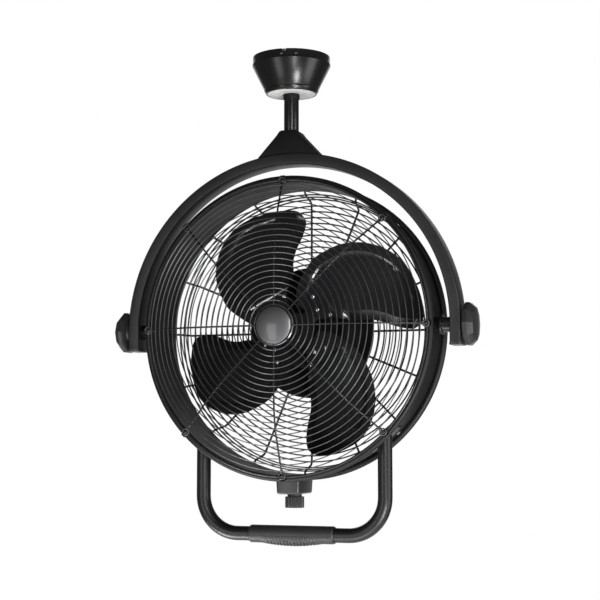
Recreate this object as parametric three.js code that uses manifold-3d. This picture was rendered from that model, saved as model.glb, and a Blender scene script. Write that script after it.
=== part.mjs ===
// Orbital ceiling fan: a caged drum fan that tilts in a half-ring yoke, and the
// yoke turns round a downrod that hangs from the ceiling.
// Millimetres. +Z up, the fan blows towards -Y, +X is to the right seen from the front.
// The drawing is made about the tilt axis (z = 0) and then lowered, so that the
// finished part has its origin on the ceiling.
import * as THREE from "three";
import { mergeGeometries, mergeVertices } from "three/addons/utils/BufferGeometryUtils.js";
import Module from "manifold-3d";

const wasm = await Module();
wasm.setup();

// ---------- driving dimensions ----------
const GAP = 0.3;                 // seat gap between two pieces that touch
const BLADE_SWEEP_R = 228;       // 18 inch fan
const TIP_CLEAR = 28.4;          // blade tip to the inner face of the drum wall
const SHEET = 1.6;               // sheet steel of the drum
const DRUM_FRONT_Y = -34;        // centre of the front rolled bead
const DRUM_REAR_Y = 62;          // centre of the rear rolled bead
const BEAD_R = 5.8;              // radius of both rolled beads
const DRUM_FACETS = 36;

const YOKE_CLEAR = 33.4;         // drum wall to the inner face of the half-ring
const YOKE_THICK = 19.6;         // radial thickness of the tube
const YOKE_DEPTH = 40;           // front-to-back depth of the tube
const YOKE_WALL = 1.6;
const YOKE_CORNER = 3.5;
const YOKE_LEG = 30.5;             // straight leg below the tilt axis
const YOKE_STEPS = 24;
const CAP_THICK = 5;             // plastic end cap under each leg
const CAP_LIP = 0.8;
const CAP_PLUG = 9;

const STUD_R = 6;                // M12 clamping stud
const STUB_R = 13;               // pivot stub between drum and yoke
const STUB_COLLAR_R = 17;
const STUB_COLLAR_AT = 12;       // from the drum wall to the collar
const STUB_COLLAR_THICK = 6;
const KNOB_R = 38;
const KNOB_RIM = 8.5;
const KNOB_BEVEL = 9.5;
const KNOB_CROWN = 2;
const KNOB_NECK_R = 20;
const KNOB_NECK = 4.5;
const KNOB_SIDES = 10;

const ROD_SHOWN = 67.7;          // hub cover to canopy
const CANOPY_TALL = 66.8;
const CANOPY_TOP_R = 69.3;
const CANOPY_BEAD = 0.9;         // bead at the shoulder, beyond the rim
const CANOPY_TAPER = 23.5;       // rim to the lower edge, in radius
const CANOPY_BAND = 11;          // plain band under the rim
const CANOPY_SHOULDER = 15.6;    // rim down to the shoulder of the cone
const CANOPY_WALL = 1.5;
const CANOPY_FACETS = 30;
const CANOPY_NOTCH = 8;
const CANOPY_NOTCH_DEEP = 5;
const CANOPY_NOTCH_ANGLE = -80.6;
const BRACKET_ANGLE = -74;       // way the long arm of the bracket points
const CANOPY_SCREW_SPREAD = 10.7; // degrees to either side of the bracket arm
const CANOPY_SCREW_R = 2;
const CANOPY_SCREW_HEAD_R = 3.8;
const CANOPY_SCREW_DROP = 7.6;   // below the ceiling
const CANOPY_SCREW_DEEP = 8;     // from the rim inwards
const ROD_R = 13.35;             // three quarter inch pipe
const ROD_BORE = 10.8;
const BALL_R = 24;               // its middle is this far below the ceiling, too
const BALL_LOW = -0.78;          // where the ball is cut flat, as shares of its radius
const BALL_HIGH = 0.68;
const PIN_R = 3;
const SEAT_R = 19;               // hole that the hanger ball sits in
const BRACKET_THICK = 2.5;
const BRACKET_WIDTH = 40;
const BRACKET_ARM_X = 33;
const SEAT_DROP = 15;            // ball centre down to the seat's top face

const COVER_BASE_HALF = 58;      // hub cover, half width on the yoke
const COVER_TOP_HALF = 17;
const COVER_TALL = 42.5;         // above the crown of the yoke
const COVER_DEPTH = 38;
const COVER_WALL = 1.6;
const COVER_ROUND = 7;           // shoulder drop beside the rod

const GEAR_MODULE = 1;
const SUN_TEETH = 20;
const PINION_TEETH = 10;
const GEAR_THICK = 6;
const SPINDLE_R = 3.9;
const SHOULDER_R = 5;            // spindle shoulder above the bearing
const COLLAR_R = 6;              // spindle collar that carries the sun gear
const ORBIT_BEARING_R = 9.5;     // 8 x 19 x 12 double row bearing
const ORBIT_BEARING_TALL = 12;
const POST_WALL = 1.2;
const POST_LIP = 2.3;            // lip of the post that rests on the bearing
const ORBIT_MOTOR_R = 9.5;
const ORBIT_MOTOR_TALL = 15;
const ORBIT_MOTOR_OFFSET = 6;    // its output shaft is off centre
const PINION_SHAFT_R = 1.5;
const PINION_SHAFT_DEEP = 5;

const GRILLE_RING_R = 1.0;       // wire radii
const GRILLE_SPOKE_R = 1.6;
const FRONT_RING_INSET = 10;     // from the rim to the last ring
const FRONT_FIRST_GAP = 7;       // from the badge to the first ring
const DOME_DEEP = 44.65;         // rim to the front of the dome
const FRONT_RINGS = 21;
const FRONT_SPOKES = 8;
const REAR_FIRST_GAP = 7;        // from the motor plate to the first ring
const REAR_FACE_INSET = 23;      // from the rim to the corner of the rear face
const REAR_EYE_INSET = 14;       // inner ends of the spokes, behind the motor plate
const REAR_RINGS = 9;
const REAR_SPOKES = 16;
const GRILLE_RIM_R = 2.25;
const GRILLE_RIM_OUT = 2.6;      // rim's wire from the inner face of the drum wall
const WIRE_SIDES = 3;
const RING_STANDS_OFF = 2;       // centre of a ring's wire from the centre of a spoke's
const BADGE_R = 36;
const BADGE_THICK = 3;
const BADGE_CROWN = 2.6;
const CLIP_R = 5.2;
const CLIP_TALL = 5.1;
const CLIP_SCREW_R = 2.9;

const ROTOR_Y = 27;              // plane of the blade spider
const BLADES = 4;
const BLADE_THICK = 1.5;
const SPIDER_THICK = 3;
const SPIDER_ANGLE = 42;         // direction of the first arm
const HUB_R = 30;
const ARM_END_R = 76;
const ARM_WIDTH = 50;
const ARM_NECK_WIDTH = 26;
const ARM_NECK = 12;             // hub's edge to where the arm widens
const ARM_FLARE = 14;
const BLADE_ROOT_R = 44;
const PITCH_FROM_R = 81;         // the blade root is flat up to here
const PITCH_EASE = 32;           // and reaches its full pitch over this length
const BLADE_SLOPE = 0.32;        // pitch of the blade
const BLADE_TIP_SLOPE = 0.75;    // steeper rim on the trailing side
const BLADE_LEAD_BAND = 16;      // flat band along the leading edge
const BLADE_TRAIL_BAND = 17;
const BLADE_LEAD_SLOPE = 0.12;
const HUB_BOSS_R = 13;
const HUB_BOSS_LONG = 22;
const RIVET_R = 3.4;
const RIVET_HEAD = 1.6;

const MOTOR_R = 66;
const MOTOR_FRONT_Y = 56;
const MOTOR_SPLIT_Y = 84;
const MOTOR_WALL = 2.5;
const MOTOR_FLANGE = 18;         // beyond the shell
const SHAFT_R = 5;
const STATOR_CLEAR = 3.5;        // inside the shell's wall
const STATOR_DEEP = 23.5;
const STATOR_LONG = 22;
const AIR_GAP = 1;
const MOTOR_BEARING_R = 13;
const MOTOR_BEARING_LONG = 8;
const MOTOR_BOLT_R = 2.4;
const COVER_DOME_OVER = 2;       // rear cover, beyond the motor shell
const COVER_DOME_LONG = 24.5;
const PLATE_OVER = 36;           // round plate that carries the motor, beyond its flange
const PLATE_Y = 105;
const PLATE_THICK = 2.5;

const BOX_HALF = 21.8;           // control box under the drum
const BOX_FRONT_Y = -20;
const BOX_REAR_Y = 55;
const BOX_DROP = 32;             // below the drum wall
const BOX_WALL = 2;
const BOX_ROUND = 4;
const SPEED_KNOB_R = 16.8;
const SPEED_KNOB_TALL = 19.5;
const SPEED_KNOB_NECK = 4.5;
const SPEED_KNOB_RIBS = 18;
const SPEED_KNOB_Y = 17.5;
const KNOB_SHAFT_R = 3;
const SWITCH_HALF = 13;
const SWITCH_TALL = 15;
const SWITCH_SOCKET = 9;

const HANDLE_R = 12.7;           // one inch tube
const HANDLE_WALL = 1.5;
const HANDLE_INSET = 88.5;       // drum wall to the centre of a leg, across
const HANDLE_Y = 6;
const HANDLE_DROP = 102;         // drum wall to the centre of the bar
const HANDLE_BEND = 66;
const FOOT_THICK = 2.5;          // curved foot that bolts the handle to the drum
const FOOT_HALF_DEPTH = 17;
const FOOT_HALF_ANGLE = 6.5;     // degrees of the drum
const GRIP_R = 15.2;
const GRIP_HALF = 79;
const GRIP_SWELL = 5.5;
const GRIP_SWELL_HALF = 44;
const GRIP_TEETH = 14;

// ---------- worked out from the above ----------
const DRUM_INNER_R = BLADE_SWEEP_R + TIP_CLEAR;
const DRUM_OUTER_R = DRUM_INNER_R + SHEET;
const BEAD_AT = DRUM_INNER_R + BEAD_R;
const DRUM_MOUTH_Y = DRUM_FRONT_Y - BEAD_R;
const DRUM_BACK_Y = DRUM_REAR_Y + BEAD_R;
const YOKE_OUTER_R = DRUM_OUTER_R + YOKE_CLEAR + YOKE_THICK;
const YOKE_MIDDLE_R = YOKE_OUTER_R - YOKE_THICK / 2;
const YOKE_START = Math.asin((STUB_R + 2) / YOKE_MIDDLE_R);
const YOKE_LEG_X = YOKE_MIDDLE_R * Math.cos(YOKE_START);
const LEG_INNER_X = YOKE_LEG_X - YOKE_THICK / 2;
const LEG_OUTER_X = YOKE_LEG_X + YOKE_THICK / 2;
const COVER_TOP_Z = YOKE_OUTER_R + COVER_TALL;
const CANOPY_BASE_Z = COVER_TOP_Z + ROD_SHOWN;
const CEILING_Z = CANOPY_BASE_Z + CANOPY_TALL;
const BALL_Z = CEILING_Z - BALL_R;
const CANOPY_BEAD_R = CANOPY_TOP_R + CANOPY_BEAD;
const CANOPY_BASE_R = CANOPY_TOP_R - CANOPY_TAPER;
const GRILLE_RIM_AT = DRUM_INNER_R + GRILLE_RIM_OUT;
const WIDE_RING_R = 0.73 * GRILLE_RIM_AT; // rings beyond this get more segments
const MOTOR_FLANGE_R = MOTOR_R + MOTOR_FLANGE;
const MOTOR_BOLT_CIRCLE = MOTOR_FLANGE_R - 7;
const STATOR_R = MOTOR_R - MOTOR_WALL - STATOR_CLEAR;
const STATOR_BORE = STATOR_R - STATOR_DEEP;
const COVER_DOME_R = MOTOR_R + COVER_DOME_OVER;
const PLATE_R = MOTOR_FLANGE_R + PLATE_OVER;
const BOX_BOTTOM_Z = -DRUM_OUTER_R - BOX_DROP;
const HANDLE_X = DRUM_OUTER_R - HANDLE_INSET;
const HANDLE_Z = -DRUM_OUTER_R - HANDLE_DROP;
const CENTRE_DISTANCE = GEAR_MODULE * (SUN_TEETH + PINION_TEETH) / 2;
const DEG = Math.PI / 180;

// ---------- solids ----------
const X = new THREE.Vector3(1, 0, 0);
const Y = new THREE.Vector3(0, 1, 0);
const Z = new THREE.Vector3(0, 0, 1);

// Closed mesh with shared corners, thin triangles dropped and faces outwards.
function welded(geometry) {
  geometry.deleteAttribute("normal");
  geometry.deleteAttribute("uv");
  const merged = mergeVertices(geometry, 1e-4);
  const index = merged.index.array;
  const kept = [];
  for (let i = 0; i < index.length; i += 3) {
    const [a, b, c] = [index[i], index[i + 1], index[i + 2]];
    if (a !== b && b !== c && c !== a) kept.push(a, b, c);
  }
  if (signedVolume(merged.attributes.position, kept) < 0) kept.reverse();
  merged.setIndex(kept);
  return merged;
}

function signedVolume(position, index) {
  const [a, b, c] = [new THREE.Vector3(), new THREE.Vector3(), new THREE.Vector3()];
  let sum = 0;
  for (let i = 0; i < index.length; i += 3) {
    a.fromBufferAttribute(position, index[i]);
    b.fromBufferAttribute(position, index[i + 1]);
    c.fromBufferAttribute(position, index[i + 2]);
    sum += a.dot(b.cross(c));
  }
  return sum / 6;
}

function solid(geometry) {
  const closed = welded(geometry);
  return new wasm.Manifold(new wasm.Mesh({
    numProp: 3,
    vertProperties: new Float32Array(closed.attributes.position.array),
    triVerts: new Uint32Array(closed.index.array),
  }));
}

function geometryOf(manifold) {
  const mesh = manifold.simplify(0.01).getMesh();
  const geometry = new THREE.BufferGeometry();
  geometry.setAttribute("position", new THREE.BufferAttribute(mesh.vertProperties, 3));
  geometry.setIndex(new THREE.BufferAttribute(mesh.triVerts, 1));
  return geometry;
}

function join(...geometries) {
  return geometryOf(geometries.map(solid).reduce((sum, next) => sum.add(next)));
}

function cut(geometry, ...tools) {
  return geometryOf(tools.map(solid).reduce((rest, tool) => rest.subtract(tool), solid(geometry)));
}

function common(geometry, other) {
  return geometryOf(solid(geometry).intersect(solid(other)));
}

// A profile of [radius, height] pairs turned about an axis.
function turned(profile, sides, axis = Z) {
  const points = profile.map(([r, h]) => new THREE.Vector2(r, h));
  const onAxis = profile[0][0] === 0 && profile[profile.length - 1][0] === 0;
  if (!onAxis) points.push(points[0].clone());
  const geometry = new THREE.LatheGeometry(points, sides);
  if (axis === Z) geometry.rotateX(Math.PI / 2);
  if (axis === X) geometry.rotateZ(-Math.PI / 2);
  return welded(geometry);
}

function disc(radius, low, high, sides, axis = Z) {
  return turned([[0, low], [radius, low], [radius, high], [0, high]], sides, axis);
}

function ring(inner, outer, low, high, sides, axis = Z) {
  return turned([[inner, low], [outer, low], [outer, high], [inner, high]], sides, axis);
}

function hexNut(radius, bore, low, high, axis) {
  return cut(disc(radius, low, high, 6, axis), disc(bore, low - 1, high + 1, 16, axis));
}

function block(x0, x1, y0, y1, z0, z1) {
  const geometry = new THREE.BoxGeometry(x1 - x0, y1 - y0, z1 - z0);
  return geometry.translate((x0 + x1) / 2, (y0 + y1) / 2, (z0 + z1) / 2);
}

// A flat outline in X and Z pushed along Y between two planes.
function slab(outline, y0, y1, bevel = 0) {
  const geometry = new THREE.ExtrudeGeometry(new THREE.Shape(outline), {
    depth: y1 - y0 - 2 * bevel, bevelEnabled: bevel > 0, bevelSize: bevel,
    bevelThickness: bevel, bevelSegments: 1, bevelOffset: -bevel, curveSegments: 6,
  });
  return welded(geometry.rotateX(Math.PI / 2).translate(0, y1 - bevel, 0));
}

function roundedRect(width, height, corner, arcSteps = 2) {
  const points = [];
  for (let quarter = 0; quarter < 4; quarter++) {
    const cx = (quarter === 0 || quarter === 3 ? 1 : -1) * (width / 2 - corner);
    const cy = (quarter < 2 ? 1 : -1) * (height / 2 - corner);
    for (let i = 0; i <= arcSteps; i++) {
      const angle = (quarter + i / arcSteps) * Math.PI / 2;
      points.push([cx + corner * Math.cos(angle), cy + corner * Math.sin(angle)]);
    }
  }
  return points;
}

function circlePoints(radius, sides, turn = 0) {
  return Array.from({ length: sides }, (_, i) => {
    const angle = (i + turn) / sides * 2 * Math.PI;
    return [radius * Math.cos(angle), radius * Math.sin(angle)];
  });
}

// A section carried along a flat path, mitred at every point. The section's first
// number runs sideways in the path's plane and the second along the plane's normal.
function swept(path, normal, section) {
  const points = path.map((p) => new THREE.Vector3(...p));
  const rings = points.map((point, i) => {
    const before = points[Math.max(i - 1, 0)];
    const after = points[Math.min(i + 1, points.length - 1)];
    const ahead = after.clone().sub(before).normalize();
    const arriving = (i > 0 ? point.clone().sub(before) : ahead.clone()).normalize();
    const bisector = (i > 0 && i < points.length - 1)
      ? arriving.clone().add(after.clone().sub(point).normalize()).normalize() : ahead;
    const side = new THREE.Vector3().crossVectors(bisector, normal);
    const stretch = 1 / Math.max(bisector.dot(arriving), 0.5);
    return section.map(([s, n]) => point.clone()
      .addScaledVector(side, s * stretch).addScaledVector(normal, n));
  });
  return lofted(rings);
}

// Skin over a row of rings that have the same number of corners, closed at both ends.
function lofted(rings) {
  const count = rings[0].length;
  const positions = rings.flat().flatMap((p) => [p.x, p.y, p.z]);
  const index = [];
  for (let i = 0; i + 1 < rings.length; i++) {
    for (let j = 0; j < count; j++) {
      const [a, b] = [i * count + j, i * count + (j + 1) % count];
      index.push(a, b, a + count, b, b + count, a + count);
    }
  }
  const last = (rings.length - 1) * count;
  for (let j = 1; j + 1 < count; j++) {
    index.push(0, j + 1, j, last, last + j, last + j + 1);
  }
  const geometry = new THREE.BufferGeometry();
  geometry.setAttribute("position", new THREE.Float32BufferAttribute(positions, 3));
  geometry.setIndex(index);
  return welded(geometry);
}

function turnedAbout(geometry, axis, degrees) {
  return geometry.clone().applyMatrix4(new THREE.Matrix4().makeRotationAxis(axis, degrees * DEG));
}

// Straight-line reading of a list of [x, y] knots.
function along(knots, x) {
  const last = knots.length - 1;
  const up = knots[last][0] > knots[0][0];
  for (let i = 0; i < last; i++) {
    const [[x0, y0], [x1, y1]] = [knots[i], knots[i + 1]];
    if (up ? x <= x1 : x >= x1) return y0 + (y1 - y0) * (x - x0) / (x1 - x0);
  }
  return knots[last][1];
}

// ---------- materials ----------
function paint(color, roughness, metalness = 0) {
  return new THREE.MeshStandardMaterial({ color, roughness, metalness });
}

const blackPowder = paint(0x1b1b1d, 0.45, 0.3);
const blackPlastic = paint(0x141416, 0.5);
const blackGloss = paint(0x101012, 0.2, 0.2);
const bladeBlack = paint(0x17171a, 0.4, 0.5);
const zinc = paint(0xb0b2b5, 0.35, 0.9);
const steel = paint(0x8d9095, 0.3, 0.9);
const copper = paint(0x7a4a2c, 0.5, 0.6);
const rubber = paint(0x0c0c0c, 0.8);

// ---------- ceiling mount ----------
// Radial hole or shank at one of the four canopy screws, two beside each end of the bracket arm.
function atCanopyScrew(geometry, number) {
  const end = number < 2 ? 0 : 180;
  const side = number % 2 ? 1 : -1;
  const placed = geometry.translate(0, 0, CEILING_Z - CANOPY_SCREW_DROP);
  return turnedAbout(placed, Z, BRACKET_ANGLE + end + side * CANOPY_SCREW_SPREAD);
}

function canopyScrewHoles() {
  const hole = () => disc(CANOPY_SCREW_R + GAP, CANOPY_TOP_R - CANOPY_SCREW_DEEP - 2, CANOPY_TOP_R + 5, 8, X);
  return [0, 1, 2, 3].map((number) => atCanopyScrew(hole(), number));
}

function canopyScrew(number) {
  const seat = CANOPY_BEAD_R + GAP;
  const point = CANOPY_TOP_R - CANOPY_SCREW_DEEP;
  return atCanopyScrew(turned([
    [0, point], [CANOPY_SCREW_R, point], [CANOPY_SCREW_R, seat],
    [CANOPY_SCREW_HEAD_R, seat], [CANOPY_SCREW_HEAD_R - 1, seat + 1.8], [0, seat + 2.2],
  ], 10, X), number);
}

function ceilingBracket() {
  const top = CEILING_Z;
  const under = top - BRACKET_THICK;
  const half = BRACKET_WIDTH / 2;
  const wall = CANOPY_TOP_R - CANOPY_WALL - 2 * GAP;
  const seatTop = BALL_Z - SEAT_DROP;
  const seatUnder = seatTop - BRACKET_THICK;
  const ear = under - CANOPY_BAND;
  const arm = BRACKET_ARM_X - BRACKET_THICK;
  const bar = join(
    block(-wall, wall, -half, half, under, top),
    block(-wall, BRACKET_THICK - wall + 4, -half, half, ear, top),
    block(wall - BRACKET_THICK - 4, wall, -half, half, ear, top),
    block(-BRACKET_ARM_X, -arm, -half, half, seatUnder, top),
    block(arm, BRACKET_ARM_X, -half, half, seatUnder, top),
    block(-BRACKET_ARM_X, BRACKET_ARM_X, -half, half, seatUnder, seatTop),
  );
  const hollow = disc(wall - BRACKET_THICK, ear - 1, under, CANOPY_FACETS);
  const inward = common(hollow, block(-wall, wall, -half - 1, half + 1, ear - 1, under));
  const keep = block(-BRACKET_ARM_X, BRACKET_ARM_X, -half - 2, half + 2, seatUnder - 1, under + 1);
  const slots = [-1, 1].map((side) => {
    const middle = side * (BRACKET_ARM_X + 16);
    return block(middle - 7, middle + 7, -4, 4, under - 1, top + 1);
  });
  const seat = disc(SEAT_R, seatUnder - 1, seatTop + 1, 24);
  const entry = block(-ROD_R - 1, ROD_R + 1, -half - 1, 0, seatUnder - 1, seatTop + 1);
  const wires = disc(6, under - 1, top + 1, 12).translate(BRACKET_ARM_X / 2, 0, 0);
  const round = common(bar, disc(wall - 0.3, seatUnder - 1, top + 1, CANOPY_FACETS));
  const open = cut(round, cut(inward, keep), ...slots, seat, entry, wires);
  return cut(turnedAbout(open, Z, BRACKET_ANGLE), ...canopyScrewHoles());
}

function canopy() {
  const top = CEILING_Z;
  const band = top - CANOPY_BAND;
  const shoulder = top - CANOPY_SHOULDER;
  const ledge = CANOPY_BASE_Z + CANOPY_WALL + GAP;
  const t = CANOPY_WALL;
  const rim = CANOPY_BASE_R - t - 0.5;
  const shell = turned([
    [CANOPY_TOP_R, top], [CANOPY_TOP_R, band], [CANOPY_BEAD_R, shoulder],
    [CANOPY_BASE_R, CANOPY_BASE_Z + 2],
    [CANOPY_BASE_R - 1, CANOPY_BASE_Z], [rim, CANOPY_BASE_Z], [rim, ledge],
    [rim - 6, ledge], [rim - 6, ledge + t], [rim + 1, ledge + t],
    [CANOPY_BEAD_R - t, shoulder + 0.4], [CANOPY_TOP_R - t, top],
  ], CANOPY_FACETS);
  const half = CANOPY_NOTCH / 2;
  const low = top - CANOPY_NOTCH_DEEP;
  const notch = block(CANOPY_TOP_R - t - 2, CANOPY_TOP_R + 2, -half, half, low, top + 1);
  return cut(shell, turnedAbout(notch, Z, CANOPY_NOTCH_ANGLE), ...canopyScrewHoles());
}

function canopyBaseDisc() {
  const edge = CANOPY_BASE_R - CANOPY_WALL - 0.5 - GAP;
  return ring(ROD_R + GAP, edge, CANOPY_BASE_Z, CANOPY_BASE_Z + CANOPY_WALL, CANOPY_FACETS);
}

function hangerBall() {
  const steps = 5;
  const profile = Array.from({ length: steps + 1 }, (_, i) => {
    const level = BALL_LOW + (BALL_HIGH - BALL_LOW) * i / steps;
    return [BALL_R * Math.sqrt(1 - level * level), BALL_Z + BALL_R * level];
  });
  const bore = ROD_R + GAP;
  profile.push([bore, BALL_Z + BALL_R * BALL_HIGH], [bore, BALL_Z + BALL_R * BALL_LOW]);
  return cut(turned(profile, 20), pinHole());
}

function pinHole() {
  return disc(PIN_R + GAP, -BALL_R - 1, BALL_R + 1, 10, X).translate(0, 0, BALL_Z);
}

function hangerPin() {
  return disc(PIN_R, -BALL_R + 1, BALL_R - 1, 10, X).translate(0, 0, BALL_Z);
}

// Heights of the orbit bearing stack, upwards from the yoke's crown.
const stack = {};
stack.floor = YOKE_OUTER_R + 1;
stack.nut = stack.floor + GAP;
stack.bearing = stack.nut + 3 + GAP;
stack.lip = stack.bearing + ORBIT_BEARING_TALL + GAP;
stack.postTop = stack.lip + POST_LIP;
stack.gear = stack.postTop + 1.2;
stack.flange = stack.gear + GEAR_THICK + GAP;
stack.rodEnd = stack.flange + 3 + GAP;

function downrod() {
  const tube = ring(ROD_BORE, ROD_R, stack.rodEnd, BALL_Z + BALL_HIGH * BALL_R + 2, 20);
  return cut(tube, pinHole());
}

function rodCollar() {
  const top = CANOPY_BASE_Z - GAP;
  const inner = ROD_R + GAP;
  return turned([
    [inner, top - 8], [inner + 0.6, top - 8], [inner + 1.1, top - 7], [inner + 1.1, top], [inner, top],
  ], 20);
}

function orbitSpindle() {
  const plug = ROD_BORE - GAP;
  const plugTop = stack.rodEnd + 14;
  const collar = stack.postTop + 0.5;
  return turned([
    [0, stack.nut], [SPINDLE_R, stack.nut], [SPINDLE_R, stack.lip], [SHOULDER_R, stack.lip],
    [SHOULDER_R, collar], [COLLAR_R, collar], [COLLAR_R, stack.flange], [ROD_R, stack.flange],
    [ROD_R, stack.rodEnd - GAP], [plug, stack.rodEnd - GAP], [plug, plugTop], [0, plugTop],
  ], 16);
}

function spindleNut() {
  return hexNut(7, SPINDLE_R + GAP, stack.nut, stack.bearing - GAP, Z);
}

function orbitBearing() {
  const low = stack.bearing;
  return ring(SPINDLE_R + GAP, ORBIT_BEARING_R, low, low + ORBIT_BEARING_TALL, 20);
}

// ---------- orbit drive ----------
function gear(teeth, bore, turn) {
  const pitch = GEAR_MODULE * teeth / 2;
  const root = pitch - 1.15 * GEAR_MODULE;
  const tip = pitch + 0.8 * GEAR_MODULE;
  const step = 2 * Math.PI / teeth;
  const outline = [];
  for (let i = 0; i < teeth; i++) {
    const middle = (i + turn) * step;
    for (const [r, share] of [[root, -0.27], [tip, -0.11], [tip, 0.11], [root, 0.27]]) {
      const angle = middle + share * step;
      outline.push(new THREE.Vector2(r * Math.cos(angle), r * Math.sin(angle)));
    }
  }
  const shape = new THREE.Shape(outline);
  if (bore) shape.holes.push(new THREE.Path(circlePoints(bore, 16).map(([x, y]) => new THREE.Vector2(x, y))));
  const geometry = new THREE.ExtrudeGeometry(shape, { depth: GEAR_THICK, bevelEnabled: false });
  return welded(geometry.translate(0, 0, stack.gear));
}

function sunGear() {
  return gear(SUN_TEETH, COLLAR_R + GAP, 0);
}

function drivePinion() {
  const motorTop = stack.floor + GAP + ORBIT_MOTOR_TALL;
  const shaft = disc(PINION_SHAFT_R, motorTop - PINION_SHAFT_DEEP, stack.gear + 1, 10);
  return join(gear(PINION_TEETH, 0, 0.5), shaft).translate(CENTRE_DISTANCE, 0, 0);
}

function orbitMotor() {
  const low = stack.floor + GAP;
  const high = low + ORBIT_MOTOR_TALL;
  const body = turned([
    [0, low], [ORBIT_MOTOR_R, low], [ORBIT_MOTOR_R, high - 1], [ORBIT_MOTOR_R - 1, high], [0, high],
  ], 20);
  const deep = PINION_SHAFT_DEEP + GAP;
  const hole = disc(PINION_SHAFT_R + GAP, high - deep, high + 1, 10).translate(-ORBIT_MOTOR_OFFSET, 0, 0);
  return cut(body, hole).translate(CENTRE_DISTANCE + ORBIT_MOTOR_OFFSET, 0, 0);
}

function yokeArcTop(halfWidth, steps, clear) {
  const r = YOKE_OUTER_R + clear;
  const end = Math.asin(halfWidth / r);
  return Array.from({ length: steps + 1 }, (_, i) => {
    const angle = -end + 2 * end * i / steps;
    return new THREE.Vector2(r * Math.sin(angle), r * Math.cos(angle));
  });
}

function hubFrame() {
  const half = COVER_BASE_HALF - COVER_WALL - 6;
  const flat = half - 12;
  const outline = yokeArcTop(half, 8, GAP);
  outline.push(new THREE.Vector2(flat, stack.floor), new THREE.Vector2(-flat, stack.floor));
  const depth = COVER_DEPTH / 2 - COVER_WALL - 1;
  const bearingBore = ORBIT_BEARING_R + GAP;
  const post = disc(bearingBore + POST_WALL, stack.floor - 0.5, stack.postTop, 24);
  const bore = disc(bearingBore, YOKE_OUTER_R - 1, stack.lip, 20);
  const neck = disc(SHOULDER_R + GAP, stack.lip - 1, stack.postTop + 1, 16);
  return cut(join(slab(outline, -depth, depth), post), bore, neck);
}

function hubCoverOutline(inset, clear) {
  const shoulder = COVER_TOP_HALF - inset;
  const top = COVER_TOP_Z - inset;
  const round = [
    [shoulder + 3, top - COVER_ROUND], [shoulder, top - COVER_ROUND / 3], [shoulder - 2.5, top],
  ].map(([x, z]) => new THREE.Vector2(x, z));
  const across = round.map((p) => new THREE.Vector2(-p.x, p.y)).reverse();
  return [...yokeArcTop(COVER_BASE_HALF - inset, 8, clear), ...round, ...across];
}

function hubCover() {
  const half = COVER_DEPTH / 2;
  const outside = slab(hubCoverOutline(0, GAP), -half, half, 1);
  const inside = slab(hubCoverOutline(COVER_WALL, -2), COVER_WALL - half, half - COVER_WALL);
  const rodHole = disc(ROD_R + GAP, stack.rodEnd, COVER_TOP_Z + 1, 24);
  return cut(outside, inside, rodHole);
}

// ---------- yoke ----------
// The arc ends a little above the tilt axis, so that the legs are straight where they pivot.
function yokePath(extra) {
  const path = [[YOKE_LEG_X, 0, -YOKE_LEG - extra]];
  for (let i = 0; i <= YOKE_STEPS; i++) {
    const angle = YOKE_START + (Math.PI - 2 * YOKE_START) * i / YOKE_STEPS;
    path.push([YOKE_MIDDLE_R * Math.cos(angle), 0, YOKE_MIDDLE_R * Math.sin(angle)]);
  }
  path.push([-YOKE_LEG_X, 0, -YOKE_LEG - extra]);
  return path;
}

function yoke() {
  const outer = roundedRect(YOKE_THICK, YOKE_DEPTH, YOKE_CORNER, 1);
  const t = 2 * YOKE_WALL;
  const inner = roundedRect(YOKE_THICK - t, YOKE_DEPTH - t, YOKE_CORNER - YOKE_WALL, 1);
  const reach = YOKE_OUTER_R + 1;
  const pivotHole = disc(STUD_R + 0.6, -reach, reach, 16, X);
  return cut(swept(yokePath(0), Y, outer), swept(yokePath(1), Y, inner), pivotHole);
}

function yokeCap(side) {
  const lip = roundedRect(YOKE_THICK + 2 * CAP_LIP, YOKE_DEPTH + 2 * CAP_LIP, YOKE_CORNER + CAP_LIP, 1);
  const clear = 2 * (YOKE_WALL + GAP);
  const plug = roundedRect(YOKE_THICK - clear, YOKE_DEPTH - clear, YOKE_CORNER - YOKE_WALL, 1);
  const at = side * YOKE_LEG_X;
  const top = -YOKE_LEG - GAP;
  return join(
    swept([[at, 0, top - CAP_THICK], [at, 0, top]], Y, lip),
    swept([[at, 0, top - 1], [at, 0, top + CAP_PLUG]], Y, plug),
  );
}

// ---------- tilt pivots ----------
function mirrored(geometry, side) {
  return side > 0 ? geometry : welded(geometry.clone().scale(-1, 1, 1));
}

function pivotStub(side) {
  const base = DRUM_OUTER_R + GAP;
  const end = LEG_INNER_X - GAP;
  const bore = STUD_R + GAP;
  const collar = base + STUB_COLLAR_AT;
  const far = collar + STUB_COLLAR_THICK;
  const stub = turned([
    [bore, base], [STUB_R, base], [STUB_R, collar], [STUB_COLLAR_R, collar], [STUB_COLLAR_R, far],
    [STUB_R, far], [STUB_R, end], [bore, end],
  ], 16, X);
  return mirrored(stub, side);
}

// Knob and stud are one moulding. The stud screws into the pivot stub.
function tiltKnob(side) {
  const start = LEG_OUTER_X + GAP;
  const back = start + KNOB_NECK;
  const rim = back + KNOB_RIM;
  const face = rim + KNOB_BEVEL;
  const body = turned([
    [0, start], [KNOB_NECK_R, start], [KNOB_NECK_R, back - 1], [KNOB_R - 4.5, back - 1],
    [KNOB_R, back + 2], [KNOB_R, rim], [KNOB_R - 9, face], [KNOB_R - 22, face + 1.5],
    [0, face + KNOB_CROWN],
  ], KNOB_SIDES, X);
  const stud = disc(STUD_R, DRUM_OUTER_R + 5, start + 2, 12, X);
  return mirrored(join(body, stud), side);
}

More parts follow.
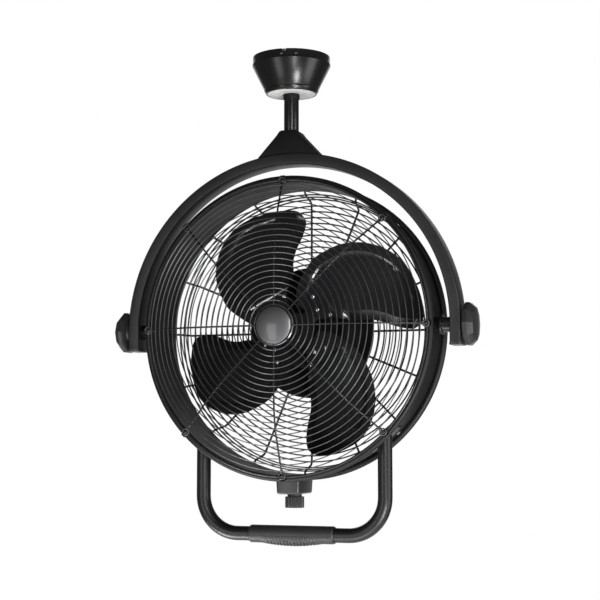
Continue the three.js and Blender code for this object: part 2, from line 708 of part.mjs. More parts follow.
// ---------- drum ----------
// Outline of an edge rolled round a wire, from the inner face of the wall to the outer.
function beadArc(centreY, facing) {
  const steps = 5;
  const end = Math.acos((DRUM_OUTER_R - BEAD_AT) / BEAD_R);
  return Array.from({ length: steps + 1 }, (_, i) => {
    const angle = Math.PI - (Math.PI + end) * i / steps;
    return [BEAD_AT + BEAD_R * Math.cos(angle), centreY + facing * BEAD_R * Math.sin(angle)];
  });
}

function drum() {
  const profile = [...beadArc(DRUM_FRONT_Y, -1), ...beadArc(DRUM_REAR_Y, 1).reverse()];
  return turned(profile, DRUM_FACETS, Y);
}

// ---------- wire grilles ----------
// The middle of each straight piece of the ring lies on the given radius, where a spoke crosses
// it. One corner of the wire points the way of facing, an angle in the plane of radius and Y.
function wireRing([radius, y], wire, sides, segments, facing) {
  const corner = radius / Math.cos(Math.PI / segments);
  const section = Array.from({ length: sides }, (_, i) => {
    const angle = facing + i / sides * 2 * Math.PI;
    return [corner + wire * Math.cos(angle), y + wire * Math.sin(angle)];
  });
  return turnedAbout(turned(section, segments, Y), Y, 180 / segments);
}

// A three-sided wire whose ridge carries the rings, in front of it (-1) or behind it (+1).
function wireSpoke(profile, degrees, ridge) {
  const path = profile.map(([r, y]) => [r, y, 0]);
  const section = circlePoints(GRILLE_SPOKE_R, WIRE_SIDES, ridge < 0 ? 0.5 : 0);
  return turnedAbout(swept(path, Z, section), Y, -degrees);
}

const FRONT_RIM_Y = DRUM_MOUTH_Y - GAP - GRILLE_RIM_R;
const REAR_RIM_Y = DRUM_BACK_Y + GAP + GRILLE_RIM_R;
const REAR_FACE_Y = PLATE_Y + PLATE_THICK + GAP + GRILLE_SPOKE_R / 2;
// Knots of the front dome, as shares of the rim's radius and of the dome's depth.
const frontDome = [
  [1, 0], [0.888, 0.317], [0.772, 0.608], [0.672, 0.866], [0.521, 0.978], [0.108, 1],
].map(([out, deep]) => [out * GRILLE_RIM_AT, FRONT_RIM_Y - deep * DOME_DEEP]);
const rearBasket = [
  [GRILLE_RIM_AT, REAR_RIM_Y], [GRILLE_RIM_AT - 8.5, REAR_RIM_Y + 5.6],
  [GRILLE_RIM_AT - 16, REAR_FACE_Y - 7.6], [GRILLE_RIM_AT - REAR_FACE_INSET, REAR_FACE_Y],
  [PLATE_R - REAR_EYE_INSET, REAR_FACE_Y],
];
const BADGE_PLATE_R = BADGE_R - 2;
const BADGE_PLATE_HALF = 1.9;

function frontGrille() {
  const first = BADGE_R + FRONT_FIRST_GAP;
  const last = GRILLE_RIM_AT - FRONT_RING_INSET;
  const rings = Array.from({ length: FRONT_RINGS }, (_, i) => {
    const radius = first + (last - first) * i / (FRONT_RINGS - 1);
    const place = [radius, along(frontDome, radius) - RING_STANDS_OFF];
    return wireRing(place, GRILLE_RING_R, WIRE_SIDES, radius > WIDE_RING_R ? 24 : 16, Math.PI / 2);
  });
  const spokes = Array.from({ length: FRONT_SPOKES }, (_, i) => (
    wireSpoke(frontDome, i * 360 / FRONT_SPOKES, -1)));
  const rim = wireRing(frontDome[0], GRILLE_RIM_R, 4, 32, 0);
  const middle = along(frontDome, BADGE_R);
  const plate = disc(BADGE_PLATE_R, middle - BADGE_PLATE_HALF, middle + BADGE_PLATE_HALF, 16, Y);
  return join(mergeGeometries([plate, rim, ...rings]), mergeGeometries(spokes));
}

function rearGrille() {
  const first = PLATE_R + REAR_FIRST_GAP;
  const step = (rearBasket[3][0] - first) / (REAR_RINGS - 1);
  const behind = REAR_FACE_Y + RING_STANDS_OFF;
  const rings = Array.from({ length: REAR_RINGS }, (_, i) => {
    const place = [first + i * step, behind];
    return wireRing(place, GRILLE_RING_R, WIRE_SIDES, REAR_SPOKES, -Math.PI / 2);
  });
  const side = rearBasket.slice(1, 4).map(([r, y]) => [y, r]);
  for (let y = side[0][0] + 4; y < REAR_FACE_Y - 6; y += step) {
    const place = [along(side, y) + RING_STANDS_OFF, y];
    rings.push(wireRing(place, GRILLE_RING_R, WIRE_SIDES, REAR_SPOKES, Math.PI));
  }
  const spokes = Array.from({ length: REAR_SPOKES }, (_, i) => (
    wireSpoke(rearBasket, i * 360 / REAR_SPOKES, 1)));
  const rim = wireRing(rearBasket[0], GRILLE_RIM_R, 4, 32, 0);
  const eye = wireRing([rearBasket[4][0] + 2, behind], GRILLE_RING_R, WIRE_SIDES, REAR_SPOKES, -Math.PI / 2);
  return join(mergeGeometries([rim, eye, ...rings]), mergeGeometries(spokes));
}

function badge() {
  const back = along(frontDome, BADGE_R) - BADGE_PLATE_HALF - GAP;
  const edge = back - BADGE_THICK;
  return turned([
    [0, back], [BADGE_R, back], [BADGE_R, edge], [BADGE_R - 3, edge - 1.2],
    [BADGE_R / 2, edge - BADGE_CROWN + 0.5], [0, edge - BADGE_CROWN],
  ], 28, Y);
}

// Saddle and screw that hold the grille's rim wire on the front bead.
function grilleClip(number) {
  const low = GRILLE_RIM_AT - 0.6;
  const under = FRONT_RIM_Y - GRILLE_RIM_R - GAP;
  const front = under - CLIP_TALL;
  const outside = GRILLE_RIM_AT + GRILLE_RIM_R + GAP;
  const high = outside + CLIP_R;
  const foot = DRUM_MOUTH_Y - GAP;
  const saddle = block(low, high, front + 1, under, -CLIP_R, CLIP_R);
  const leg = block(outside, high, under - 1, foot, -CLIP_R, CLIP_R);
  const screw = disc(CLIP_SCREW_R, front, under - 1, 8, Y).translate((low + high) / 2, 0, 0);
  return turnedAbout(join(saddle, leg, screw), Y, -number * 360 / FRONT_SPOKES);
}

// ---------- rotor ----------
// Edges of one blade as [share of the way from root to tip, degrees about the shaft], its arm
// pointing along BLADE_AXIS.
const BLADE_AXIS = 132;
const outOnBlade = (share, from = BLADE_ROOT_R) => from + share * (BLADE_SWEEP_R - from);
const onBlade = ([share, degrees]) => [outOnBlade(share), degrees];
const trailingEdge = [
  [0, 174], [0.141, 176], [0.25, 170], [0.375, 165], [0.467, 162], [0.565, 156], [0.717, 148],
  [0.848, 138.5], [0.913, 132.5], [0.962, 127], [1, 121],
].map(onBlade);
const leadingEdge = [
  [0, 113], [0.141, 108], [0.25, 101], [0.326, 98], [0.435, 98.5], [0.554, 96], [0.647, 93],
  [0.739, 91], [0.848, 90], [0.935, 95], [0.978, 102], [1, 113],
].map(onBlade);
const bladeStations = [
  BLADE_ROOT_R, ...[0, 0.088, 0.184, 0.333, 0.503, 0.687, 0.837, 0.939, 1]
    .map((share) => outOnBlade(share, PITCH_FROM_R)),
];

function bladePoint(radius, share, lift) {
  const reach = radius * DEG;
  const lead = (along(leadingEdge, radius) - BLADE_AXIS) * reach;
  const trail = (along(trailingEdge, radius) - BLADE_AXIS) * reach;
  const width = trail - lead;
  const leadKnee = lead + Math.min(BLADE_LEAD_BAND, width / 4);
  const trailKnee = trail - Math.min(BLADE_TRAIL_BAND, width / 4);
  const columns = [lead, leadKnee, (2 * leadKnee + trailKnee) / 3, (leadKnee + 2 * trailKnee) / 3,
    trailKnee, trail];
  const arc = columns[share];
  const middle = Math.min(Math.max(arc, leadKnee), trailKnee);
  const rise = BLADE_SLOPE * middle + BLADE_LEAD_SLOPE * Math.min(0, arc - leadKnee)
    + BLADE_TIP_SLOPE * Math.max(0, arc - trailKnee);
  const pitched = THREE.MathUtils.smoothstep(radius, PITCH_FROM_R, PITCH_FROM_R + PITCH_EASE);
  const angle = BLADE_AXIS * DEG + arc / radius;
  return [radius * Math.cos(angle), ROTOR_Y - pitched * rise + lift, radius * Math.sin(angle)];
}

// A plate between two grids of points that share the same edge walk.
function blade(number) {
  const columns = 6;
  const rows = bladeStations.length;
  const grid = (lift) => bladeStations.flatMap((radius) => (
    Array.from({ length: columns }, (_, share) => bladePoint(radius, share, lift))));
  const positions = [...grid(-BLADE_THICK / 2), ...grid(BLADE_THICK / 2)].flat();
  const index = [];
  const back = rows * columns;
  for (let i = 0; i + 1 < rows; i++) {
    for (let j = 0; j + 1 < columns; j++) {
      const [a, b] = [i * columns + j, (i + 1) * columns + j];
      index.push(a, a + 1, b, b, a + 1, b + 1);
      index.push(back + a, back + b, back + a + 1, back + b, back + b + 1, back + a + 1);
    }
  }
  const walk = [];
  for (let j = 0; j < columns; j++) walk.push(j);
  for (let i = 1; i < rows; i++) walk.push(i * columns + columns - 1);
  for (let j = columns - 2; j >= 0; j--) walk.push((rows - 1) * columns + j);
  for (let i = rows - 2; i > 0; i--) walk.push(i * columns);
  walk.forEach((a, k) => {
    const b = walk[(k + 1) % walk.length];
    index.push(a, back + a, b, b, back + a, back + b);
  });
  const geometry = new THREE.BufferGeometry();
  geometry.setAttribute("position", new THREE.Float32BufferAttribute(positions, 3));
  geometry.setIndex(index);
  const heads = rivets.map(rivetHead);
  return turnedAbout(join(geometry, ...heads), Y, BLADE_AXIS - SPIDER_ANGLE - number * 360 / BLADES);
}

// Rivets of one blade as [radius, degrees from the arm].
const rivets = [[67, 18.5], [53, 0], [67, -18.5]];

function rivetHead([radius, degrees]) {
  const angle = (BLADE_AXIS + degrees) * DEG;
  const head = disc(RIVET_R, ROTOR_Y - BLADE_THICK / 2 - RIVET_HEAD, ROTOR_Y, 6, Y);
  return head.translate(radius * Math.cos(angle), 0, radius * Math.sin(angle));
}

function bladeSpider() {
  const front = BLADE_THICK / 2 + GAP;
  const half = ARM_WIDTH / 2;
  const neck = ARM_NECK_WIDTH / 2;
  const inner = HUB_R + ARM_NECK;
  const outer = inner + ARM_FLARE;
  const arm = [
    [HUB_R - 8, -neck], [inner, -neck], [outer, -half], [ARM_END_R, -half + 3],
    [ARM_END_R + 2, 0], [ARM_END_R, half - 3], [outer, half], [inner, neck], [HUB_R - 8, neck],
  ].map(([x, z]) => new THREE.Vector2(x, z));
  const plateY = [ROTOR_Y + front, ROTOR_Y + front + SPIDER_THICK];
  const pieces = [disc(HUB_R, ...plateY, 24, Y), disc(HUB_BOSS_R, plateY[0], plateY[0] + HUB_BOSS_LONG, 20, Y)];
  for (let i = 0; i < BLADES; i++) {
    const turn = i * 360 / BLADES;
    pieces.push(turnedAbout(slab(arm, ...plateY), Y, -SPIDER_ANGLE - turn));
  }
  return cut(join(...pieces), disc(SHAFT_R + GAP, 0, 2 * ROTOR_Y, 16, Y));
}

function hubNut() {
  const back = ROTOR_Y + BLADE_THICK / 2;
  return hexNut(9.5, SHAFT_R + GAP, back - 8, back, Y);
}

function motorShaft() {
  return disc(SHAFT_R, ROTOR_Y - 13, PLATE_Y - 4, 16, Y);
}

function rotorCore() {
  const [front, rear] = stackOf(STATOR_LONG);
  return ring(SHAFT_R + GAP, STATOR_BORE - AIR_GAP, front, rear, 24, Y);
}

// ---------- motor ----------
function stackOf(long) {
  const middle = (MOTOR_FRONT_Y + PLATE_Y) / 2;
  return [middle - long / 2, middle + long / 2];
}

function motorStator() {
  const [front, rear] = stackOf(STATOR_LONG);
  return ring(STATOR_BORE, STATOR_R, front, rear, 24, Y);
}

function boltHoles(size) {
  return [0, 1, 2, 3].map((i) => {
    const hole = disc(size, PLATE_Y - 5, PLATE_Y + 5, 6, Y).translate(MOTOR_BOLT_CIRCLE, 0, 0);
    return turnedAbout(hole, Y, 45 + i * 90);
  });
}

function motorFrontShell() {
  const t = MOTOR_WALL;
  const floor = MOTOR_FRONT_Y + t;
  const seat = MOTOR_BEARING_R + GAP;
  return turned([
    [SHAFT_R + 2, MOTOR_FRONT_Y], [MOTOR_R - 6, MOTOR_FRONT_Y], [MOTOR_R, MOTOR_FRONT_Y + 6],
    [MOTOR_R, MOTOR_SPLIT_Y], [MOTOR_R - t, MOTOR_SPLIT_Y], [MOTOR_R - t, MOTOR_FRONT_Y + 7],
    [MOTOR_R - 7, floor], [seat + t, floor], [seat + t, floor + MOTOR_BEARING_LONG],
    [seat, floor + MOTOR_BEARING_LONG], [seat, floor], [SHAFT_R + 2, floor],
  ], 20, Y);
}

// The four bolts that hold it on the plate are made in one with the flange.
function motorRearShell() {
  const t = MOTOR_WALL;
  const rear = PLATE_Y - GAP;
  const floor = rear - t;
  const seat = MOTOR_BEARING_R + GAP;
  const shell = turned([
    [0, rear], [MOTOR_FLANGE_R, rear], [MOTOR_FLANGE_R, floor + 0.5], [MOTOR_R, floor + 0.5],
    [MOTOR_R, MOTOR_SPLIT_Y + GAP], [MOTOR_R - t, MOTOR_SPLIT_Y + GAP], [MOTOR_R - t, floor],
    [seat + t, floor], [seat + t, floor - MOTOR_BEARING_LONG], [seat, floor - MOTOR_BEARING_LONG],
    [seat, floor], [0, floor],
  ], 20, Y);
  const bolts = [0, 1, 2, 3].flatMap((i) => [
    disc(MOTOR_BOLT_R, floor, PLATE_Y + PLATE_THICK, 6, Y), disc(MOTOR_BOLT_R + 2.2, floor - 3, floor + 1, 6, Y),
  ].map((bolt) => turnedAbout(bolt.translate(MOTOR_BOLT_CIRCLE, 0, 0), Y, 45 + i * 90)));
  return join(shell, ...bolts);
}

function motorBearing(front) {
  return ring(SHAFT_R + GAP, MOTOR_BEARING_R, front, front + MOTOR_BEARING_LONG - 2 * GAP, 20, Y);
}

function motorPlate() {
  const plate = ring(20, PLATE_R, PLATE_Y, PLATE_Y + PLATE_THICK, 24, Y);
  return cut(plate, ...boltHoles(MOTOR_BOLT_R + GAP));
}

function motorRearCover() {
  const front = PLATE_Y + PLATE_THICK + GAP;
  const t = MOTOR_WALL;
  const r = COVER_DOME_R;
  const rear = front + COVER_DOME_LONG;
  return turned([
    [r, front], [r, front + 4], [r - 10, rear - 5], [r - 26, rear], [0, rear], [0, rear - t],
    [r - 27, rear - t], [r - 12, rear - 7], [r - t, front + 3], [r - t, front],
  ], 20, Y);
}

// ---------- controls ----------
function underDrum() {
  return disc(DRUM_OUTER_R + GAP, BOX_FRONT_Y - 20, BOX_REAR_Y + 20, DRUM_FACETS, Y);
}

function tapered(halfTop, halfBottom, y0, y1, top, bottom, corner) {
  const ringAt = (half, taper, z) => {
    const middle = (y0 + y1) / 2;
    return roundedRect(2 * half, y1 - y0 - 2 * taper, corner).map(([x, y]) => (
      new THREE.Vector3(x, y + middle, z)));
  };
  return lofted([ringAt(halfTop, 0, top), ringAt(halfBottom, halfTop - halfBottom, bottom)]);
}

function controlBox() {
  const top = -DRUM_OUTER_R + 12;
  const floor = BOX_BOTTOM_Z + BOX_WALL;
  const outer = tapered(BOX_HALF + 1, BOX_HALF - 1, BOX_FRONT_Y - 1, BOX_REAR_Y, top, BOX_BOTTOM_Z, BOX_ROUND);
  const inner = tapered(BOX_HALF + 1 - BOX_WALL, BOX_HALF - 1 - BOX_WALL, BOX_FRONT_Y + 1,
    BOX_REAR_Y - BOX_WALL, top + 1, floor, BOX_ROUND - BOX_WALL);
  const hole = disc(KNOB_SHAFT_R + 1, BOX_BOTTOM_Z - 1, floor + 1, 12).translate(0, SPEED_KNOB_Y, 0);
  return cut(outer, inner, hole, underDrum());
}

function speedSwitch() {
  const low = BOX_BOTTOM_Z + BOX_WALL + GAP;
  const [front, rear] = [SPEED_KNOB_Y - SWITCH_HALF, SPEED_KNOB_Y + SWITCH_HALF];
  const body = block(-SWITCH_HALF, SWITCH_HALF, front, rear, low, low + SWITCH_TALL);
  const socket = disc(KNOB_SHAFT_R + GAP, low - 1, low + SWITCH_SOCKET, 12).translate(0, SPEED_KNOB_Y, 0);
  return cut(body, socket);
}

function runCapacitor() {
  const low = BOX_BOTTOM_Z + BOX_WALL + GAP;
  const front = SPEED_KNOB_Y + SWITCH_HALF + 4;
  return block(-15, 15, front, BOX_REAR_Y - 6, low, low + 17);
}

function speedKnob() {
  const top = BOX_BOTTOM_Z - GAP;
  const head = top - SPEED_KNOB_NECK;
  const low = head - SPEED_KNOB_TALL;
  const points = circlePoints(1, 2 * SPEED_KNOB_RIBS).map(([x, y], i) => {
    const radius = SPEED_KNOB_R - (i % 2 ? 1 : 0);
    return new THREE.Vector2(x * radius, y * radius);
  });
  const body = new THREE.ExtrudeGeometry(new THREE.Shape(points), {
    depth: SPEED_KNOB_TALL, bevelEnabled: false,
  }).translate(0, 0, low);
  const neck = disc(SPEED_KNOB_R - 4, head - 1, top, 16);
  const shaftTop = BOX_BOTTOM_Z + BOX_WALL + SWITCH_SOCKET - GAP;
  const shaft = disc(KNOB_SHAFT_R, head - 1, shaftTop, 12);
  return join(body, neck, shaft).translate(0, SPEED_KNOB_Y, 0);
}

// ---------- handle ----------
function handlePath(overrun) {
  const top = overrun + HANDLE_R - Math.sqrt(DRUM_OUTER_R ** 2 - (HANDLE_X + HANDLE_R) ** 2);
  const path = [[-HANDLE_X, HANDLE_Y, top]];
  const centreX = HANDLE_X - HANDLE_BEND;
  const centreZ = HANDLE_Z + HANDLE_BEND;
  const steps = 5;
  for (const side of [-1, 1]) {
    for (let i = 0; i <= steps; i++) {
      const angle = (side < 0 ? i : steps - i) / steps * Math.PI / 2;
      path.push([
        side * (centreX + HANDLE_BEND * Math.cos(angle)), HANDLE_Y, centreZ - HANDLE_BEND * Math.sin(angle),
      ]);
    }
  }
  path.push([HANDLE_X, HANDLE_Y, top]);
  return path;
}

function handleFoot(side) {
  const inner = DRUM_OUTER_R + GAP;
  const outer = inner + FOOT_THICK;
  const middle = Math.acos(HANDLE_X / inner);
  const steps = 4;
  const arc = (radius, forward) => Array.from({ length: steps + 1 }, (_, i) => {
    const share = forward ? i : steps - i;
    const angle = -middle + (share / steps * 2 - 1) * FOOT_HALF_ANGLE * DEG;
    return new THREE.Vector2(side * radius * Math.cos(angle), radius * Math.sin(angle));
  });
  const outline = [...arc(inner, true), ...arc(outer, false)];
  return slab(outline, HANDLE_Y - FOOT_HALF_DEPTH, HANDLE_Y + FOOT_HALF_DEPTH);
}

function handle() {
  const tube = swept(handlePath(0), Y, circlePoints(HANDLE_R, 10));
  const bore = swept(handlePath(1), Y, circlePoints(HANDLE_R - HANDLE_WALL, 8));
  return cut(join(cut(tube, underDrum()), handleFoot(-1), handleFoot(1)), bore);
}

function gripSleeve(side) {
  const sleeve = ring(HANDLE_R + GAP, GRIP_R, -GRIP_HALF, GRIP_HALF, 20, X).translate(0, HANDLE_Y, HANDLE_Z);
  const collars = [-1, 1].map((end) => {
    const from = end < 0 ? -GRIP_HALF : GRIP_HALF - 5;
    return ring(HANDLE_R + GAP, GRIP_R + 1, from, from + 5, 20, X).translate(0, HANDLE_Y, HANDLE_Z);
  });
  const wide = 2 * GRIP_R;
  const end = GRIP_HALF + GRIP_R;
  const [low, high] = side > 0 ? [GAP / 2, wide] : [-wide, -GAP / 2];
  const half = block(-end, end, HANDLE_Y - wide, HANDLE_Y + wide, HANDLE_Z + low, HANDLE_Z + high);
  return common(join(sleeve, ...collars), half);
}

function gripLower() {
  const pitch = 2 * GRIP_SWELL_HALF / GRIP_TEETH;
  const bottom = HANDLE_Z - GRIP_R + 1.5;
  const outline = [[GRIP_SWELL_HALF + 12, bottom], [-GRIP_SWELL_HALF - 12, bottom]];
  for (let i = 0; i <= 2 * GRIP_TEETH; i++) {
    const x = -GRIP_SWELL_HALF + i * pitch / 2;
    const swell = GRIP_SWELL * (1 - (x / (GRIP_SWELL_HALF + 12)) ** 2);
    outline.push([x, bottom - swell - (i % 2 ? 1.6 : 0)]);
  }
  const swell = slab(outline.map(([x, z]) => new THREE.Vector2(x, z)), HANDLE_Y - 9, HANDLE_Y + 9);
  const room = disc(HANDLE_R + GAP, -90, 90, 20, X).translate(0, HANDLE_Y, HANDLE_Z);
  return cut(join(gripSleeve(-1), swell), room);
}

// ---------- assembly ----------
const part = new THREE.Group();
part.name = "orbital_ceiling_fan";

function add(name, geometry, material) {
  const mesh = new THREE.Mesh(geometry.clone().translate(0, 0, -CEILING_Z), material.clone());
  mesh.name = name;
  part.add(mesh);
}

add("ceiling_bracket", ceilingBracket(), zinc);
add("canopy", canopy(), blackPowder);
add("canopy_base_disc", canopyBaseDisc(), paint(0xa9a9a8, 0.6));
for (let i = 0; i < 4; i++) add(`canopy_screw_${i + 1}`, canopyScrew(i), steel);
add("hanger_ball", hangerBall(), blackPlastic);
add("hanger_pin", hangerPin(), steel);
add("downrod", downrod(), blackPowder);
add("rod_collar", rodCollar(), blackPlastic);
add("orbit_spindle", orbitSpindle(), steel);
add("orbit_sun_gear", sunGear(), steel);
add("spindle_nut", spindleNut(), steel);

add("orbit_bearing", orbitBearing(), steel);
add("hub_frame", hubFrame(), zinc);
add("hub_cover", hubCover(), blackPlastic);
add("orbit_motor", orbitMotor(), zinc);
add("orbit_pinion", drivePinion(), steel);
add("yoke", yoke(), blackPowder);
add("yoke_cap_left", yokeCap(-1), blackPlastic);
add("yoke_cap_right", yokeCap(1), blackPlastic);

add("pivot_stub_left", pivotStub(-1), blackPowder);
add("pivot_stub_right", pivotStub(1), blackPowder);
add("tilt_knob_left", tiltKnob(-1), blackPlastic);
add("tilt_knob_right", tiltKnob(1), blackPlastic);

add("drum", drum(), blackPowder);
add("front_grille", frontGrille(), blackPowder);
add("rear_grille", rearGrille(), blackPowder);
add("badge", badge(), blackGloss);
for (let i = 0; i < FRONT_SPOKES; i++) add(`grille_clip_${i + 1}`, grilleClip(i), blackPlastic);

add("motor_plate", motorPlate(), blackPowder);
add("motor_rear_shell", motorRearShell(), blackPowder);
add("motor_front_shell", motorFrontShell(), blackPowder);
add("motor_stator", motorStator(), copper);
add("motor_bearing_front", motorBearing(MOTOR_FRONT_Y + MOTOR_WALL + GAP), steel);
add("motor_bearing_rear", motorBearing(PLATE_Y - MOTOR_WALL - MOTOR_BEARING_LONG), steel);
add("motor_rear_cover", motorRearCover(), blackPlastic);
add("motor_shaft", motorShaft(), steel);
add("rotor_core", rotorCore(), steel);
add("blade_spider", bladeSpider(), steel);
for (let i = 0; i < BLADES; i++) add(`blade_${i + 1}`, blade(i), bladeBlack);
add("hub_nut", hubNut(), steel);

add("control_box", controlBox(), blackPlastic);
add("speed_switch", speedSwitch(), zinc);
add("run_capacitor", runCapacitor(), blackPlastic);
add("speed_knob", speedKnob(), blackPlastic);
add("handle", handle(), blackPowder);
add("grip_upper", gripSleeve(1), rubber);
add("grip_lower", gripLower(), rubber);

export default part;
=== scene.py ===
"""Orbital ceiling fan: the visual pieces, their finishes and a plain studio."""

import math

import bmesh
import bpy
from mathutils import Matrix, Vector


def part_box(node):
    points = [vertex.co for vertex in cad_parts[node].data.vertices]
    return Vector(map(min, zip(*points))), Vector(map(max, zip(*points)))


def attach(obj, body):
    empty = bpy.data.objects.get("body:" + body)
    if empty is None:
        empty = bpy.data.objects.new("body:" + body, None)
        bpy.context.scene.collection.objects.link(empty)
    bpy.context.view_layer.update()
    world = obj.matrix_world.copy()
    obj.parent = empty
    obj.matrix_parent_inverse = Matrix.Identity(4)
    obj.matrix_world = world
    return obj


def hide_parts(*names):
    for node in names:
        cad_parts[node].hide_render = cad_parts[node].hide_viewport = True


bl_info = {
    "name": "Orbital ceiling fan",
    "version": (1, 0, 0),
    "blender": (4, 5, 0),
    "location": "View3D > Sidebar > Fan",
    "description": "Builds a caged ceiling fan that tilts in a half-ring yoke and turns round its rod",
    "category": "Object",
}

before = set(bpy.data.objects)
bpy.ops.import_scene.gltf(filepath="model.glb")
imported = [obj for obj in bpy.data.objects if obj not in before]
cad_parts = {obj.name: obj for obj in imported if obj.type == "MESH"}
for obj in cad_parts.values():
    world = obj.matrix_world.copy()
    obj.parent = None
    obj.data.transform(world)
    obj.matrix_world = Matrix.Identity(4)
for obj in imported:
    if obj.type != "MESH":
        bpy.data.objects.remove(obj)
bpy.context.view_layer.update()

MM = 0.001
X = Vector((1, 0, 0))
Y = Vector((0, 1, 0))
Z = Vector((0, 0, 1))


# ---------- settings ----------
def length(name, description, default):
    return bpy.props.FloatProperty(name=name, description=description, default=default, unit="LENGTH")


def colour(name, description, default):
    return bpy.props.FloatVectorProperty(
        name=name, description=description, default=default, size=3, subtype="COLOR", min=0.0, max=1.0
    )


class FanHead(bpy.types.PropertyGroup):
    """Sizes of the drum, its grilles and what stands in it."""

    tilt_height: length("Tilt axis", "Height of the tilt axis below the ceiling", -0.488)
    drum_radius: length("Drum radius", "Outer face of the drum wall", 0.258)
    sheet: length("Sheet", "Sheet steel of the drum", 0.0016)
    front_bead: length("Front bead", "Place of the front rolled bead along the fan's axis", -0.034)
    rear_bead: length("Rear bead", "Place of the rear rolled bead along the fan's axis", 0.062)
    bead: length("Bead radius", "Radius of the rolled beads", 0.0058)
    ring_wire: length("Ring wire", "Radius of the front grille rings' wire", 0.0010)
    rear_ring_wire: length("Rear ring wire", "Radius of the rear grille rings' wire", 0.0015)
    spoke_wire: length("Spoke wire", "Radius of the front grille spokes' wire", 0.0016)
    rear_spoke_wire: length("Rear spoke wire", "Radius of the rear grille spokes' wire", 0.0020)
    rim_wire: length("Rim wire", "Radius of the grille rims' wire", 0.00225)
    rim_radius: length("Rim", "Radius of the grille rims", 0.259)
    badge_radius: length("Badge", "Radius of the plain boss in the grille's middle", 0.036)
    rotor_plane: length("Rotor plane", "Place of the blade roots along the fan's axis", 0.027)
    plate: length("Motor plate", "Front face of the motor plate along the fan's axis", 0.105)


class FanSupport(bpy.types.PropertyGroup):
    """Sizes of the yoke, the rod, the canopy and the handle."""

    yoke_radius: length("Yoke radius", "Outer face of the half-ring", 0.311)
    yoke_thick: length("Yoke thickness", "Radial thickness of the yoke tube", 0.0196)
    yoke_depth: length("Yoke depth", "Front to back depth of the yoke tube", 0.040)
    yoke_leg: length("Yoke leg", "Straight leg below the tilt axis", 0.0305)
    rod_radius: length("Rod radius", "Outside radius of the downrod", 0.01335)
    knob_radius: length("Knob radius", "Radius of the tilt knobs", 0.038)
    canopy_base: length("Canopy base", "Height of the canopy's lower edge over the tilt axis", 0.4212)
    handle_radius: length("Handle tube", "Radius of the handle tube", 0.0127)
    handle_half: length("Handle half width", "From the middle to the centre of a leg", 0.1695)
    handle_drop: length("Handle drop", "Centre of the handle bar below the tilt axis", 0.360)
    handle_bend: length("Handle bend", "Centre line radius of the handle's bends", 0.066)
    handle_y: length("Handle place", "Place of the handle along the fan's axis", 0.006)


class FanColours(bpy.types.PropertyGroup):
    """Colours of the finishes."""

    satin: colour("Satin black", "Powder coat of the drum, the rod and the handle", (0.0045, 0.0045, 0.0050))
    matt: colour("Matt black", "Coat of the drive cover, the motor and the spider", (0.0035, 0.0035, 0.0040))
    textured: colour("Textured black", "Textured coat of the yoke", (0.012, 0.012, 0.013))
    wire: colour("Wire black", "Dipped enamel of the grilles", (0.018, 0.018, 0.019))
    blade: colour("Blade black", "Paint of the blades", (0.007, 0.007, 0.008))
    plastic: colour("Black plastic", "Moulded pieces", (0.022, 0.022, 0.023))
    boss: colour("Boss", "Plain dark metal boss in the middle of the grille", (0.150, 0.150, 0.155))
    grip: colour("Grip", "Soft handle grip", (0.020, 0.020, 0.020))
    zinc: colour("Zinc", "Plated steel", (0.48, 0.49, 0.50))
    rivet: colour("Rivets", "Bright rivet heads", (0.75, 0.75, 0.76))
    disc: colour("Base disc", "Pale disc under the canopy", (0.64, 0.64, 0.63))
    winding: colour("Winding", "Varnished copper of the motor", (0.28, 0.12, 0.05))


class Studio(bpy.types.PropertyGroup):
    """The camera, the lamps and the backdrop."""

    azimuth: bpy.props.FloatProperty(
        name="Azimuth", description="Camera's turn to the right of straight ahead",
        default=math.radians(20.03), subtype="ANGLE",
    )
    elevation: bpy.props.FloatProperty(
        name="Elevation", description="Camera's height angle, below level when negative",
        default=math.radians(-5.44), subtype="ANGLE",
    )
    distance: length("Distance", "From the camera to its aim", 2.512)
    aim: bpy.props.FloatVectorProperty(
        name="Aim", description="Point that the camera looks at", default=(0.01632, 0.0, -0.43758), size=3,
        subtype="TRANSLATION", unit="LENGTH",
    )
    lens: bpy.props.FloatProperty(name="Lens", description="Focal length in millimetres", default=85.27)
    floor: length("Floor", "Height of the floor", -2.1)


# ---------- shader maths ----------
class Value:
    """A socket that can stand in a Python sum."""

    def __init__(self, nodes, socket):
        self.nodes = nodes
        self.socket = socket

    def math(self, operation, other):
        return self.nodes.value("ShaderNodeMath", "Value", {"operation": operation}, {0: self, 1: other})

    def __add__(self, other):
        return self.math("ADD", other)

    def __mul__(self, other):
        return self.math("MULTIPLY", other)

    __radd__ = __add__
    __rmul__ = __mul__


class Nodes:
    """A node tree that is built up one value at a time."""

    def __init__(self, tree):
        self.tree = tree

    def feed(self, socket, value):
        if isinstance(value, Value):
            self.tree.links.new(value.socket, socket)
        else:
            socket.default_value = value

    def value(self, kind, output, settings=None, sockets=None):
        """Adds a node, sets it up and gives one of its outputs."""
        node = self.tree.nodes.new(kind)
        for key, setting in (settings or {}).items():
            setattr(node, key, setting)
        for key, given in (sockets or {}).items():
            self.feed(node.inputs[key], given)
        return Value(self, node.outputs[output])

    def seen_by(self, *rays):
        """One for a ray of any of these kinds, and nought for every other."""
        path = self.tree.nodes.new("ShaderNodeLightPath")
        kinds = [Value(self, path.outputs[f"Is {ray} Ray"]) for ray in rays]
        seen = kinds[0]
        for kind in kinds[1:]:
            seen = seen.math("MAXIMUM", kind)
        return seen


